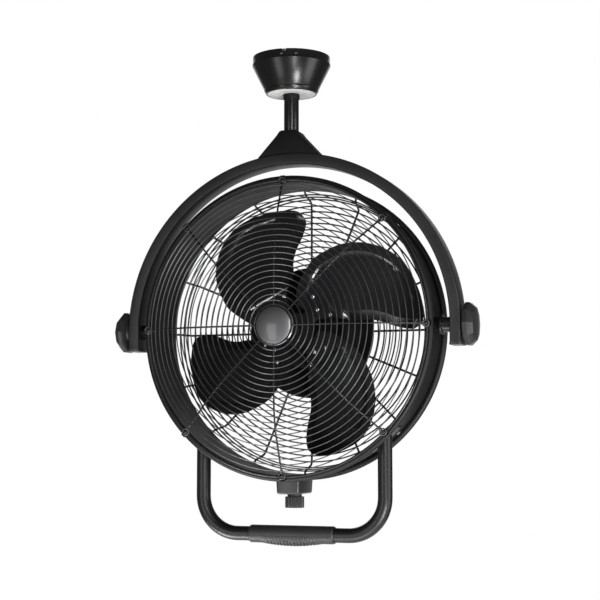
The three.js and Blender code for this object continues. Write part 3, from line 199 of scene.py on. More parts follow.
class Shade(Nodes):
    """One material and the nodes that it is made of."""

    def __init__(self, name):
        self.material = bpy.data.materials.new(name)
        self.material.use_nodes = True
        super().__init__(self.material.node_tree)
        self.surface = self.tree.nodes["Principled BSDF"]

    def set(self, **values):
        for name, value in values.items():
            self.feed(self.surface.inputs[name.replace("_", " ")], value)

    def noise(self, scale, detail, stretch=None):
        place = self.value("ShaderNodeTexCoord", "Object")
        if stretch:
            place = self.value("ShaderNodeMapping", "Vector", None, {"Vector": place, "Scale": stretch})
        sockets = {"Vector": place, "Scale": scale, "Detail": detail}
        return self.value("ShaderNodeTexNoise", "Fac", None, sockets)

    def ramp(self, value, low, high, light=1.0):
        sockets = {"Value": value, "From Min": low, "From Max": high, "To Min": 0.0, "To Max": light}
        return self.value("ShaderNodeMapRange", "Result", {"clamp": True}, sockets)

    def mixed(self, factor, first, second):
        """Two colours mixed; the numbers are the colour sockets of the Mix node."""
        sockets = {0: factor, 6: first, 7: second}
        return self.value("ShaderNodeMix", 2, {"data_type": "RGBA"}, sockets)

    def bump(self, height, strength, distance):
        sockets = {"Height": height, "Strength": strength, "Distance": distance}
        self.set(Normal=self.value("ShaderNodeBump", "Normal", None, sockets))

    def worn(self, base, wear, dust):
        """Base colour that drifts a little and holds faint dust where the slow noise is high."""
        drift = self.ramp(self.noise(7.0, 4.0), 0.42, 0.72)
        film = self.ramp(self.noise(38.0, 5.0), 0.55, 0.8, 0.5)
        lifted = opaque(min(c + wear, 1.0) for c in base)
        dusty = opaque(c * (1 - dust) + DUST_GREY * dust for c in base)
        self.set(Base_Color=self.mixed(film, self.mixed(drift, opaque(base), lifted), dusty))
        return drift


# ---------- finishes ----------
DUST_GREY = 0.35
WHITE = (1, 1, 1, 1)


def opaque(rgb):
    return (*rgb, 1.0)


def shaded(rgb, share):
    return opaque(c * share for c in rgb)


def colours():
    return bpy.context.scene.fan_colours


def coat(name, base, roughness, grain, relief, wear=0.004, dust=0.01, detail=3.0,
         by_wear=0.05, by_grain=0.04, depth=0.0002, **constants):
    """A painted or moulded skin: a worn colour, and one grain that roughens it and stands in relief."""
    shade = Shade(name)
    drift = shade.worn(base, wear, dust)
    speck = shade.noise(grain, detail)
    shade.set(Roughness=roughness + by_wear * drift + by_grain * speck, **constants)
    shade.bump(speck, relief, depth)
    return shade.material


def satin_coat():
    """Smooth black powder coat with a faint orange peel."""
    return coat("satin_black", colours().satin, 0.23, 620.0, 0.02)


def tube_coat():
    """Softer powder coat on the bent handle."""
    return coat("tube_black", colours().satin, 0.33, 620.0, 0.03)


def drum_coat():
    """Duller powder coat on the rolled drum."""
    return coat("drum_black", colours().satin, 0.46, 540.0, 0.10, Specular_IOR_Level=0.35)


def matt_coat():
    """Flat black on the drive cover, the motor and the blade spider."""
    return coat("matt_black", colours().matt, 0.54, 900.0, 0.15, Specular_IOR_Level=0.2)


def textured_coat():
    """Black coat with a sandy grain."""
    return coat("textured_black", colours().textured, 0.31, 1500.0, 0.30, wear=0.006, dust=0.02,
                by_grain=0.10, depth=0.0003, Specular_IOR_Level=0.45)


def wire_enamel():
    """Glossy enamel on drawn wire."""
    return coat("wire_enamel", colours().wire, 0.28, 260.0, 0.12, wear=0.006, dust=0.02,
                by_wear=0.08, by_grain=0.05, Specular_IOR_Level=1.0)


def moulded_plastic():
    """Fine grained black plastic."""
    return coat("moulded_black", colours().plastic, 0.27, 1900.0, 0.10, wear=0.005, dust=0.02, detail=2.0,
                by_wear=0.08, by_grain=0.06)


def boss_finish():
    """Dark metal of the plain boss under a clear coat."""
    return coat("boss_metal", colours().boss, 0.50, 500.0, 0.03, wear=0.010, detail=2.0, by_grain=0.0,
                Metallic=0.9, Coat_Weight=0.7, Coat_Roughness=0.12)


def soft_grip():
    """Soft moulded rubber with a dull skin."""
    return coat("soft_grip", colours().grip, 0.42, 1100.0, 0.25, wear=0.008, dust=0.04, detail=4.0,
                by_wear=0.10, by_grain=0.08, depth=0.0003)


def blade_paint():
    """Semi-gloss paint on pressed steel, with faint press marks across the blade."""
    shade = Shade("blade_black")
    drift = shade.worn(colours().blade, 0.005, 0.02)
    drawn = shade.noise(60.0, 3.0, stretch=(1.0, 4.0, 1.0))
    peel = shade.noise(700.0, 2.0)
    shade.set(Roughness=0.18 + 0.05 * drift + 0.03 * drawn)
    shade.bump(peel + 0.6 * drawn, 0.02, 0.0001)
    return shade.material


def plated_steel():
    """Zinc plated steel with fine brushing and dull patches."""
    shade = Shade("plated_steel")
    zinc = colours().zinc
    patch = shade.ramp(shade.noise(90.0, 5.0), 0.35, 0.7)
    line = shade.noise(900.0, 2.0, stretch=(1.0, 1.0, 9.0))
    shade.set(Base_Color=shade.mixed(patch, opaque(zinc), shaded(zinc, 0.72)), Metallic=1.0)
    shade.set(Roughness=0.24 + 0.14 * patch + 0.06 * line)
    shade.bump(line, 0.12, 0.0002)
    return shade.material


def rivet_steel():
    """Bright domed rivet heads with a thin film of paint."""
    shade = Shade("rivet_steel")
    bright = colours().rivet
    film = shade.ramp(shade.noise(240.0, 4.0), 0.45, 0.75)
    shade.set(Base_Color=shade.mixed(film, opaque(bright), shaded(bright, 0.6)))
    shade.set(Metallic=0.9, Roughness=0.22 + 0.12 * film)
    shade.bump(film, 0.10, 0.0002)
    return shade.material


def pale_plastic():
    """Plain pale disc, faintly mottled."""
    shade = Shade("pale_disc")
    pale = colours().disc
    mottle = shade.ramp(shade.noise(140.0, 4.0), 0.35, 0.7)
    shade.set(Base_Color=shade.mixed(mottle, opaque(pale), shaded(pale, 0.93)))
    shade.set(Roughness=0.48 + 0.10 * mottle)
    shade.bump(shade.noise(1400.0, 2.0), 0.12, 0.0002)
    return shade.material


def varnished_winding():
    """Copper wire under brown varnish."""
    shade = Shade("winding")
    copper = colours().winding
    sockets = {"Scale": 380.0, "Distortion": 1.5}
    strand = shade.value("ShaderNodeTexWave", "Fac", {"wave_type": "RINGS"}, sockets)
    shade.set(Base_Color=shade.mixed(strand, opaque(copper), shaded(copper, 0.45)))
    shade.set(Metallic=0.6, Roughness=0.35 + 0.2 * strand)
    shade.bump(strand, 0.5, 0.0004)
    return shade.material


FINISHES = {
    "satin": satin_coat, "tube": tube_coat, "drum": drum_coat, "matt": matt_coat,
    "textured": textured_coat, "wire": wire_enamel,
    "blade": blade_paint, "plastic": moulded_plastic, "boss": boss_finish, "grip": soft_grip,
    "steel": plated_steel, "rivet": rivet_steel, "pale": pale_plastic, "winding": varnished_winding,
}
made_finishes = {}


def finish_named(name):
    if name not in made_finishes:
        made_finishes[name] = FINISHES[name]()
    return made_finishes[name]


# ---------- mesh helpers ----------
def head():
    return bpy.context.scene.fan_head


def support():
    return bpy.context.scene.fan_support


def about(axis, degrees):
    return Matrix.Rotation(math.radians(degrees), 4, axis)


def verts_in(geometry):
    return [g for g in geometry if isinstance(g, bmesh.types.BMVert)]


def edges_in(geometry):
    return [g for g in geometry if isinstance(g, bmesh.types.BMEdge)]


def edges_at(verts):
    """The edges that meet these corners, each once and in order."""
    return list(dict.fromkeys(e for v in verts for e in v.link_edges))


def moved(bm, matrix, verts=None):
    bmesh.ops.transform(bm, matrix=matrix, verts=verts or bm.verts)


def spun(bm, verts, edges, axis, angle, steps, merge):
    """Sweeps a line of edges round an axis through the tilt point, and gives what ends up last."""
    return bmesh.ops.spin(
        bm, geom=verts + edges, cent=(0, 0, 0), axis=axis, angle=angle, steps=steps, use_merge=merge
    )["geom_last"]


def repeated(bm, count, make, first=0):
    """Makes a form over and over, at equal steps round the fan's axis."""
    for i in range(count):
        moved(bm, about("Y", first + i * 360 / count), make())


def linked(name, data):
    """A new object in the scene for some data."""
    thing = bpy.data.objects.new(name, data)
    bpy.context.collection.objects.link(thing)
    return thing


def mesh_of(name, bm):
    mesh = bpy.data.meshes.new(name)
    bm.to_mesh(mesh)
    bm.free()
    return mesh


def band(inner, outer, low, high):
    """Profile of a plain ring, for turning."""
    return [(inner, low), (outer, low), (outer, high), (inner, high)]


def turned(profile, axis, steps, bm=None, sweep=360.0, closed=True):
    """Turns a profile of (radius, height) pairs about an axis through the tilt point."""
    if bm is None:
        bm = bmesh.new()
    across = Z if axis != Z else X
    verts = [bm.verts.new(across * r + axis * h) for r, h in profile]
    pairs = list(zip(verts, verts[1:]))
    if closed:
        pairs.append((verts[-1], verts[0]))
    edges = [bm.edges.new(pair) for pair in pairs]
    spun(bm, verts, edges, axis, math.radians(sweep), steps, sweep >= 360.0)
    return bm


def weld(bm):
    """Joins the corners that a turned profile leaves on its axis."""
    bmesh.ops.remove_doubles(bm, verts=bm.verts, dist=1e-6)


def soften(bm, width, angle=32.0, segments=2, edges=None):
    """Rounds the edges that turn by more than an angle."""
    limit = math.radians(angle)
    chosen = [e for e in (edges or bm.edges) if len(e.link_faces) == 2 and e.calc_face_angle() > limit]
    bmesh.ops.bevel(
        bm, geom=chosen, offset=width, offset_type="OFFSET", segments=segments, profile=0.5,
        affect="EDGES", clamp_overlap=True, material=-1,
    )


def upright_edges(bm):
    return [e for e in bm.edges if abs(e.verts[0].co.z - e.verts[1].co.z) > 1e-4]


def edges_below(bm, height):
    return [e for e in bm.edges if max(v.co.z for v in e.verts) < height]


def torus(bm, radius, y, wire, steps, sides):
    """A closed ring of round wire about the fan's axis."""
    place = Matrix.Translation((radius, y, 0))
    verts = bmesh.ops.create_circle(bm, segments=sides, radius=wire, matrix=place)["verts"]
    spun(bm, verts, edges_at(verts), Y, 2 * math.pi, steps, True)


def rod(bm, path, wire, sides, caps=True):
    """A round wire or tube along a path, one ring of its skin extruded from the last."""
    points = [Vector(p) for p in path]
    last = len(points) - 1
    ahead = [(points[min(i + 1, last)] - points[max(i - 1, 0)]).normalized() for i in range(last + 1)]
    facing = ahead[0].to_track_quat("Z", "X")
    frames = []
    for i, point in enumerate(points):
        if i:
            facing = ahead[i - 1].rotation_difference(ahead[i]) @ facing
        frames.append(Matrix.Translation(point) @ facing.to_matrix().to_4x4())
    made = bmesh.ops.create_circle(bm, segments=sides, radius=wire, matrix=frames[0], cap_ends=caps)
    ring = edges_at(made["verts"])
    for before, after in zip(frames, frames[1:]):
        out = bmesh.ops.extrude_edge_only(bm, edges=ring)["geom"]
        end = verts_in(out)
        ring = [e for e in edges_in(out) if e.verts[0] in end and e.verts[1] in end]
        moved(bm, after @ before.inverted(), end)
    if caps:
        bmesh.ops.contextual_create(bm, geom=ring)


def slab(bm, outline, y0, y1):
    """A flat outline in X and Z pushed from one plane to another along Y, and its corners."""
    face = bm.faces.new([bm.verts.new((x, y0, z)) for x, z in outline])
    front = list(face.verts)
    back = verts_in(bmesh.ops.extrude_face_region(bm, geom=[face])["geom"])
    bmesh.ops.translate(bm, verts=back, vec=(0, y1 - y0, 0))
    return front + back


def box(bm, low, high):
    low, high = Vector(low), Vector(high)
    place = Matrix.Translation((low + high) / 2) @ Matrix.Diagonal((*(high - low), 1))
    return bmesh.ops.create_cube(bm, size=1.0, matrix=place)["verts"]


def pin(bm, centre, axis, radius, low, high, sides):
    """A short round bar about a line through a centre."""
    turn = Vector(axis).to_track_quat("Z", "X").to_matrix().to_4x4()
    place = Matrix.Translation(centre) @ turn @ Matrix.Translation((0, 0, (low + high) / 2))
    return bmesh.ops.create_cone(
        bm, cap_ends=True, segments=sides, radius1=radius, radius2=radius, depth=high - low, matrix=place
    )["verts"]


def put(bm, name, body, finish, *nodes, sharp=34.0, turn=None):
    """Makes the finished piece from a mesh that was drawn about the tilt point."""
    if turn is not None:
        moved(bm, turn)
    bmesh.ops.translate(bm, verts=bm.verts, vec=(0, 0, head().tilt_height))
    bmesh.ops.recalc_face_normals(bm, faces=bm.faces)
    limit = math.radians(sharp)
    for face in bm.faces:
        face.smooth = True
    for edge in bm.edges:
        edge.smooth = len(edge.link_faces) != 2 or edge.calc_face_angle() < limit
    piece = linked(name, mesh_of(name, bm))
    piece.data.materials.append(finish_named(finish))
    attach(piece, body)
    if nodes:
        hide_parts(*nodes)
    return piece


def along(knots, x):
    """Straight-line reading of a list of (x, value) knots."""
    rising = knots[-1][0] > knots[0][0]
    for (x0, v0), (x1, v1) in zip(knots, knots[1:]):
        if (x <= x1) if rising else (x >= x1):
            return v0 + (v1 - v0) * (x - x0) / (x1 - x0)
    return knots[-1][1]


def rounded_off(knots):
    """Cuts the corners of a line of knots twice, and keeps its ends."""
    for _ in range(2):
        cut = [knots[0]]
        for (x0, v0), (x1, v1) in zip(knots, knots[1:]):
            cut.append((0.75 * x0 + 0.25 * x1, 0.75 * v0 + 0.25 * v1))
            cut.append((0.25 * x0 + 0.75 * x1, 0.25 * v0 + 0.75 * v1))
        knots = cut + [knots[-1]]
    return knots


# ---------- drum and grilles ----------
SCREW_ANGLES = (-45, 45, 135, 225)
SCREW_Y = 0.045
SCREW_RADIUS = 0.0044
SCREW_HEIGHT = 0.0022
# (radius, place along the axis) of the grilles' wires, in millimetres
FRONT_DOME = [
    (259.0, -42.3), (252.0, -47.5), (230.0, -57.0), (200.0, -69.5), (174.0, -80.5), (135.0, -86.0),
    (80.0, -87.0), (28.0, -87.0),
]
REAR_BASKET = [
    (259.0, 70.3), (254.0, 71.5), (250.0, 77.0), (243.5, 99.0), (241.0, 105.5), (235.0, 108.6),
    (106.0, 108.6),
]
FRONT_RINGS = 21
FRONT_FIRST = 43.0
FRONT_LAST = 249.0
FRONT_SPOKES = 8
REAR_RINGS = 11
REAR_FIRST = 127.0
REAR_LAST = 236.0
REAR_SIDE_RINGS = (80.0, 90.0, 100.0)
REAR_SPOKES = 16
REAR_MIDDLE_RING = 0.108
RING_STAND = 0.86                # a ring's distance from its spokes, as a share of both wires
BOSS_PLATE_RADIUS = 0.034
BOSS_PLATE_HALF = 0.0019
BOSS_SHARES = (0.957, 0.93, 0.89, 0.84, 0.78, 0.7, 0.6, 0.48, 0.36, 0.24, 0.12, 0.0)


def spoke(bm, profile, degrees, wire, sides):
    turn = about("Y", -degrees)
    rod(bm, [turn @ (Vector((r, y, 0)) * MM) for r, y in rounded_off(profile)], wire, sides)


class FAN_OT_drum(bpy.types.Operator):
    """Make the drum with its two rolled beads and the wall screws"""

    bl_idname = "fan.drum"
    bl_label = "Drum"

    def execute(self, context):
        size = head()
        inner = size.drum_radius - size.sheet
        bm = turned(band(inner, size.drum_radius, size.front_bead, size.rear_bead), Y, 144)
        for y in (size.front_bead, size.rear_bead):
            torus(bm, inner + size.bead, y, size.bead, 144, 14)
        put(bm, "drum_shell", "head", "drum", "drum")
        bm = bmesh.new()
        for degrees in SCREW_ANGLES:
            turn = about("Y", -degrees)
            centre = turn @ Vector((size.drum_radius + 0.0002, SCREW_Y, 0))
            pin(bm, centre, turn @ X, SCREW_RADIUS, 0.0, SCREW_HEIGHT, 20)
        soften(bm, 0.0009)
        put(bm, "drum_screws", "head", "steel")
        return {"FINISHED"}


class FAN_OT_front_grille(bpy.types.Operator):
    """Make the domed front grille: rings, spokes, rim and the plate behind the boss"""

    bl_idname = "fan.front_grille"
    bl_label = "Front grille"

    def execute(self, context):
        size = head()
        stand = (size.ring_wire + size.spoke_wire) * RING_STAND
        dome = rounded_off(FRONT_DOME)
        bm = bmesh.new()
        for i in range(FRONT_RINGS):
            radius = FRONT_FIRST + (FRONT_LAST - FRONT_FIRST) * i / (FRONT_RINGS - 1)
            torus(bm, radius * MM, along(dome, radius) * MM - stand, size.ring_wire, 120, 6)
        put(bm, "front_rings", "head", "wire", "front_grille", sharp=60.0)
        bm = bmesh.new()
        for i in range(FRONT_SPOKES):
            spoke(bm, FRONT_DOME, i * 360 / FRONT_SPOKES, size.spoke_wire, 10)
        torus(bm, size.rim_radius, FRONT_DOME[0][1] * MM, size.rim_wire, 144, 10)
        put(bm, "front_spokes", "head", "satin", "front_grille", sharp=60.0)
        middle = FRONT_DOME[-1][1] * MM
        bm = turned(band(0.0, BOSS_PLATE_RADIUS, middle - BOSS_PLATE_HALF, middle + BOSS_PLATE_HALF), Y, 72)
        weld(bm)
        soften(bm, 0.0006)
        put(bm, "boss_plate", "head", "satin")
        return {"FINISHED"}


class FAN_OT_rear_grille(bpy.types.Operator):
    """Make the basket-shaped rear grille"""

    bl_idname = "fan.rear_grille"
    bl_label = "Rear grille"

    def execute(self, context):
        size = head()
        stand = (size.rear_ring_wire + size.rear_spoke_wire) * RING_STAND
        face = REAR_BASKET[-1][1] * MM
        step = (REAR_LAST - REAR_FIRST) / (REAR_RINGS - 1)
        side = [(y, r) for r, y in REAR_BASKET[2:5]]
        rings = [((REAR_FIRST + i * step) * MM, face + stand) for i in range(REAR_RINGS)]
        rings += [(along(side, y) * MM + stand, y * MM) for y in REAR_SIDE_RINGS]
        rings.append((REAR_MIDDLE_RING, face + stand))
        bm = bmesh.new()
        for radius, y in rings:
            torus(bm, radius, y, size.rear_ring_wire, 96, 6)
        for i in range(REAR_SPOKES):
            spoke(bm, REAR_BASKET, i * 360 / REAR_SPOKES, size.rear_spoke_wire, 8)
        torus(bm, size.rim_radius, REAR_BASKET[0][1] * MM, size.rim_wire, 120, 10)
        put(bm, "rear_wires", "head", "satin", "rear_grille", sharp=60.0)
        return {"FINISHED"}


class FAN_OT_badge(bpy.types.Operator):
    """Make the plain domed boss in the middle of the front grille"""

    bl_idname = "fan.badge"
    bl_label = "Boss"

    def execute(self, context):
        r = head().badge_radius
        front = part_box("badge")[0].y
        back = FRONT_DOME[-1][1] * MM + 0.0008
        profile = [(0.0, back), (r - 0.0006, back), (r, back - 0.0005)]
        for share in BOSS_SHARES:
            profile.append((r * share * 1.03, front + (6.05 * share ** 2 + 3.63 * share ** 6) * MM))
        bm = turned(profile, Y, 96, closed=False)
        weld(bm)
        bmesh.ops.holes_fill(bm, edges=bm.edges, sides=0)
        put(bm, "boss", "head", "boss", "badge", sharp=50.0)
        return {"FINISHED"}


# ---------- grille clips ----------
CLIP_INNER = 0.2592
CLIP_HOOK = 0.2628
CLIP_OUTER = 0.2668
CLIP_HALF = 0.0042
CLIP_FRONT = 0.0012              # how far the saddle stands in front of the rim wire
CLIP_BACK = -0.0401
EYE_CENTRE = 0.2575
EYE_RADIUS = 0.0056
EYE_WIRE = 0.0014
EYE_TAIL = 0.0105
EYE_START = 152
EYE_STEPS = 18
SCREW_SLOT = Vector((0.0024, 0, 0.00035))
SCREW_SLOT_TURN = 38


def clip_saddle(seat):
    """Plastic hook that holds the rim wire."""
    bm = bmesh.new()
    front = seat - CLIP_FRONT
    box(bm, (CLIP_INNER, front, -CLIP_HALF), (CLIP_OUTER, seat - 0.0001, CLIP_HALF))
    box(bm, (CLIP_HOOK, front, -CLIP_HALF), (CLIP_OUTER, CLIP_BACK, CLIP_HALF))
    soften(bm, 0.0009, segments=3)
    return bm


def clip_eye(seat):
    """Wire eye round the clip's screw."""
    eye = [Vector((EYE_CENTRE - EYE_TAIL, seat - 0.0026, 0.0))]
    for step in range(EYE_STEPS + 1):
        angle = math.radians(EYE_START - step * 2 * EYE_START / EYE_STEPS)
        x = EYE_CENTRE + EYE_RADIUS * math.cos(angle)
        eye.append(Vector((x, seat - 0.0025, EYE_RADIUS * math.sin(angle))))
    eye.append(Vector((EYE_CENTRE - EYE_TAIL, seat - 0.0026, -0.0002)))
    bm = bmesh.new()
    rod(bm, eye, EYE_WIRE, 10)
    return bm


def clip_screw(seat):
    """Round head with a raised bar across it, where the slot is."""
    bm = turned([(0.0, seat - 0.0048), (0.0018, seat - 0.0047), (0.0031, seat - 0.0040),
                 (0.0037, seat - 0.0030), (0.0037, seat - 0.0012), (0.0, seat - 0.0012)], Y, 28)
    weld(bm)
    slot = box(bm, -SCREW_SLOT + Y * (seat - 0.0050), SCREW_SLOT + Y * (seat - 0.0043))
    bmesh.ops.rotate(bm, verts=slot, cent=(0, 0, 0), matrix=about("Y", SCREW_SLOT_TURN))
    bmesh.ops.translate(bm, verts=bm.verts, vec=(EYE_CENTRE, 0, 0))
    return bm


class FAN_OT_clips(bpy.types.Operator):
    """Make the eight clips that hold the front grille's rim: a saddle, a wire eye and its screw"""

    bl_idname = "fan.clips"
    bl_label = "Grille clips"

    def execute(self, context):
        seat = FRONT_DOME[0][1] * MM - head().rim_wire
        for i in range(FRONT_SPOKES):
            turn = about("Y", -i * 360 / FRONT_SPOKES)
            put(clip_saddle(seat), f"clip_{i + 1}", "head", "plastic", f"grille_clip_{i + 1}", turn=turn)
            put(clip_eye(seat), f"clip_eye_{i + 1}", "head", "wire", sharp=60.0, turn=turn)
            put(clip_screw(seat), f"clip_screw_{i + 1}", "head", "satin", turn=turn)
        return {"FINISHED"}


# ---------- rotor ----------
BLADES = 4
FIRST_ARM = 42.0
BLADE_AXIS = 132.0
# (radius in millimetres, degrees) along a blade's two edges
UPPER_EDGE = [
    (44, 174), (70, 176), (90, 170), (113, 165), (130, 162), (148, 156), (176, 148), (200, 138.5),
    (212, 132.5), (221, 127), (228, 120), (228, 112), (228, 104), (223.5, 95.5),
]
LOWER_EDGE = [
    (44, 113), (70, 108), (90, 101), (104, 98), (124, 98.5), (146, 96), (163, 93), (180, 91),
    (200, 90), (212, 91), (220.5, 93.5),
]
# shares of the blade's length: rows lie closest where the root folds
BLADE_ROWS = [i / 50 for i in range(6)]
BLADE_ROWS += [0.115 + 0.0035 * i for i in range(28)]
BLADE_ROWS += [0.22 + 0.02 * i for i in range(40)]
FLAP_STOPS = (0, 0.07, 0.32, 0.65, 0.97, 1, 1.03)
BAND_STOPS = (0.05, 0.3, 0.65, 0.93, 1)
PANEL_STOPS = 13
BLADE_SHEET = 0.0015
BAND = 15.0
RISER = 3.6
RISER_HEIGHT = 2.7
FLAP = 16.0
FLAP_BEND = 0.43
PITCH = 0.32
ROOT_PITCH = 0.30
FOLD_START = 76.0
FOLD_HEIGHT = 3.2
FOLD_WIDTH = 4.5
RIVETS = [(67.0, 18.5), (53.0, 0.0), (67.0, -18.5)]
RIVET_RADIUS = 0.0042
SPIDER_ARM = [(22, -13), (42, -13), (56, -25), (76, -22), (78, 0), (76, 22), (56, 25), (42, 13), (22, 13)]
SPIDER_GAP = 0.00105
SPIDER_PLATE = 0.003


def eased(value, low, high):
    share = min(max((value - low) / (high - low), 0.0), 1.0)
    return share * share * (3 - 2 * share)


def edge_line(knots):
    """A blade's edge from (radius, degrees) knots, as points that carry their share of its length."""
    points = []
    for radius, degrees in rounded_off(knots):
        angle = math.radians(degrees - BLADE_AXIS)
        points.append(Vector((radius * math.cos(angle), radius * math.sin(angle))))
    lengths = [0.0]
    for first, second in zip(points, points[1:]):
        lengths.append(lengths[-1] + (second - first).length)
    return [(length / lengths[-1], point) for length, point in zip(lengths, points)]


def edge_point(line, share):
    return Vector((along([(s, p.x) for s, p in line], share), along([(s, p.y) for s, p in line], share)))


def squareness(line, share, across):
    """How squarely a line across the blade meets one of its edges."""
    ahead, behind = edge_point(line, min(share + 0.02, 1.0)), edge_point(line, max(share - 0.02, 0.0))
    tangent = (ahead - behind).normalized()
    return max(abs(across.x * tangent.y - across.y * tangent.x), 0.35)


def blade_row(upper, lower, share):
    """One line across the blade, from its lower edge to its upper: start, way, stops and marks."""
    start, end = edge_point(lower, share), edge_point(upper, share)
    across = (end - start).normalized()
    width = (end - start).length
    low_square, high_square = squareness(lower, share, across), squareness(upper, share, across)
    knee = min(FLAP / low_square, width * 0.3)
    crest = width - min(BAND / high_square, width * 0.3)
    foot = crest - min(RISER / high_square, width * 0.08)
    stops = [knee * part for part in FLAP_STOPS]
    stops += [knee + (foot - knee) * i / PANEL_STOPS for i in range(1, PANEL_STOPS)]
    stops += [foot, foot + 0.12 * (crest - foot), crest - 0.12 * (crest - foot), crest]
    stops += [crest + (width - crest) * part for part in BAND_STOPS]
    return start, across, stops, (knee * low_square, knee, foot, crest)


def blade_height(point, stop, share, marks):
    """How far the pressed blade stands in front of the rotor plane, in millimetres."""
    flap, knee, foot, crest = marks
    radius = point.length
    pitch = ROOT_PITCH + (PITCH - ROOT_PITCH) * eased(point.x + abs(point.y), 110, 160)
    main = pitch * radius * math.atan2(point.y, point.x)
    bent = eased(radius, 84, 97) * (1 - eased(share, 0.86, 0.97)) * FLAP_BEND
    bent *= flap * max(0.0, 1 - stop / knee)
    riser = min(max((stop - foot) / (crest - foot), 0.0), 1.0) * RISER_HEIGHT
    riser *= eased(radius, 62, 92) * (1 - eased(share, 0.76, 0.90))
    narrow = min(max((point.y + 42) / 60, 0.04), 1.0)
    past = point.x - FOLD_START - 0.14 * point.y
    fold = min(max(past / (FOLD_WIDTH * narrow), 0.0), 1.0) * FOLD_HEIGHT * narrow
    fold *= (1 - eased(point.y, 40, 50)) * (1 - eased(radius, 100, 150))
    return main - bent + riser + fold


def blade_plate(rows, plane):
    """One pressed blade, its grid of corners moved to the rows and stops."""
    bm = bmesh.new()
    across, out = len(rows[0][2]) - 1, len(rows) - 1
    bmesh.ops.create_grid(bm, x_segments=across, y_segments=out, size=0.5)
    for vert in bm.verts:
        row = round((vert.co.y + 0.5) * out)
        start, way, stops, marks = rows[row]
        stop = stops[round((vert.co.x + 0.5) * across)]
        point = start + way * stop
        height = blade_height(point, stop, BLADE_ROWS[row], marks)
        vert.co = Vector((point.x, plane - height, point.y)) * MM
    bmesh.ops.recalc_face_normals(bm, faces=bm.faces)
    bmesh.ops.solidify(bm, geom=bm.faces[:], thickness=BLADE_SHEET)
    bmesh.ops.translate(bm, verts=bm.verts, vec=(0, -BLADE_SHEET / 2, 0))
    return bm


def rivet_heads(plane):
    """The domed rivets of one blade, on its pitched root."""
    bm = bmesh.new()
    for radius, degrees in RIVETS:
        angle = math.radians(degrees)
        centre = Vector((math.cos(angle), 0, math.sin(angle))) * radius * MM
        centre.y = (plane - 0.75 - ROOT_PITCH * radius * angle) * MM
        place = Matrix.Translation(centre)
        made = bmesh.ops.create_uvsphere(bm, u_segments=20, v_segments=10, radius=RIVET_RADIUS, matrix=place)
        bmesh.ops.scale(bm, vec=(1, 0.6, 1), space=Matrix.Translation(-centre), verts=made["verts"])
    return bm


class FAN_OT_blades(bpy.types.Operator):
    """Make the four pressed blades with their raised bands, bent flaps and rivets"""

    bl_idname = "fan.blades"
    bl_label = "Blades"

    def execute(self, context):
        upper, lower = edge_line(UPPER_EDGE), edge_line(LOWER_EDGE)
        rows = [blade_row(upper, lower, share) for share in BLADE_ROWS]
        plane = head().rotor_plane / MM
        for i in range(BLADES):
            turn = about("Y", -FIRST_ARM - i * 360 / BLADES)
            plate = blade_plate(rows, plane)
            put(plate, f"blade_plate_{i + 1}", "rotor", "blade", f"blade_{i + 1}", sharp=50.0, turn=turn)
            put(rivet_heads(plane), f"rivets_{i + 1}", "rotor", "rivet", turn=turn)
        return {"FINISHED"}


class FAN_OT_hub(bpy.types.Operator):
    """Make the blade spider, its boss and the hub nut"""

    bl_idname = "fan.hub"
    bl_label = "Blade spider"

    def execute(self, context):
        front = head().rotor_plane + SPIDER_GAP
        bm = bmesh.new()
        for i in range(BLADES):
            arm = slab(bm, [(x * MM, z * MM) for x, z in SPIDER_ARM], front, front + SPIDER_PLATE)
            for vert in arm:
                vert.co.y -= ROOT_PITCH * vert.co.z * eased(vert.co.x / MM, 30, 56)
            moved(bm, about("Y", -FIRST_ARM - i * 360 / BLADES), arm)
        soften(bm, 0.0008, 30.0)
        turned([(0.0053, front), (0.030, front - 0.0002), (0.030, front + 0.0032), (0.013, front + 0.0034),
                (0.013, front + 0.022), (0.0053, front + 0.022)], Y, 64, bm)
        put(bm, "spider", "rotor", "matt", "blade_spider")
        low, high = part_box("hub_nut")
        bm = bmesh.new()
        pin(bm, (0, 0, 0), Y, 0.0095, low.y, high.y, 6)
        soften(bm, 0.0008, 40.0)
        put(bm, "nut", "rotor", "matt", "hub_nut")
        return {"FINISHED"}


# ---------- motor ----------
MOTOR_FRONT = 0.056
BARREL = 0.066
BARREL_INSIDE = 0.0635
SHELL_SEAM = 0.084
FLANGE = 0.084
FINS = 12
PLATE_BOLTS = 4
COVER_RIBS = 24


def motor_bell():
    """Finned front shell."""
    front = MOTOR_FRONT
    bm = turned([(0.007, front), (0.034, front), (0.036, front + 0.002), (0.060, front + 0.002),
                 (BARREL, front + 0.007), (BARREL, SHELL_SEAM), (BARREL_INSIDE, SHELL_SEAM),
                 (BARREL_INSIDE, front + 0.009), (0.007, front + 0.005)], Y, 96)
    soften(bm, 0.0008, 30.0)
    repeated(bm, FINS, lambda: box(bm, (0.040, front + 0.0012, -0.0015), (0.062, front + 0.006, 0.0015)))
    put(bm, "motor_bell", "head", "matt", "motor_front_shell")


def motor_barrel(plate):
    """Rear shell with the flange that is bolted to the motor plate."""
    bm = turned([(BARREL_INSIDE, SHELL_SEAM + 0.0003), (BARREL, SHELL_SEAM + 0.0003),
                 (BARREL, plate - 0.0023), (FLANGE, plate - 0.0023), (FLANGE, plate - 0.0003),
                 (0.010, plate - 0.0003), (0.010, plate - 0.0028), (BARREL_INSIDE, plate - 0.0028)], Y, 96)
    soften(bm, 0.0006, 30.0)
    repeated(bm, PLATE_BOLTS, lambda: pin(bm, (0.077, 0, 0), Y, 0.0046, plate - 0.0055, plate - 0.002, 6), 45)
    put(bm, "motor_barrel", "head", "matt", "motor_rear_shell")


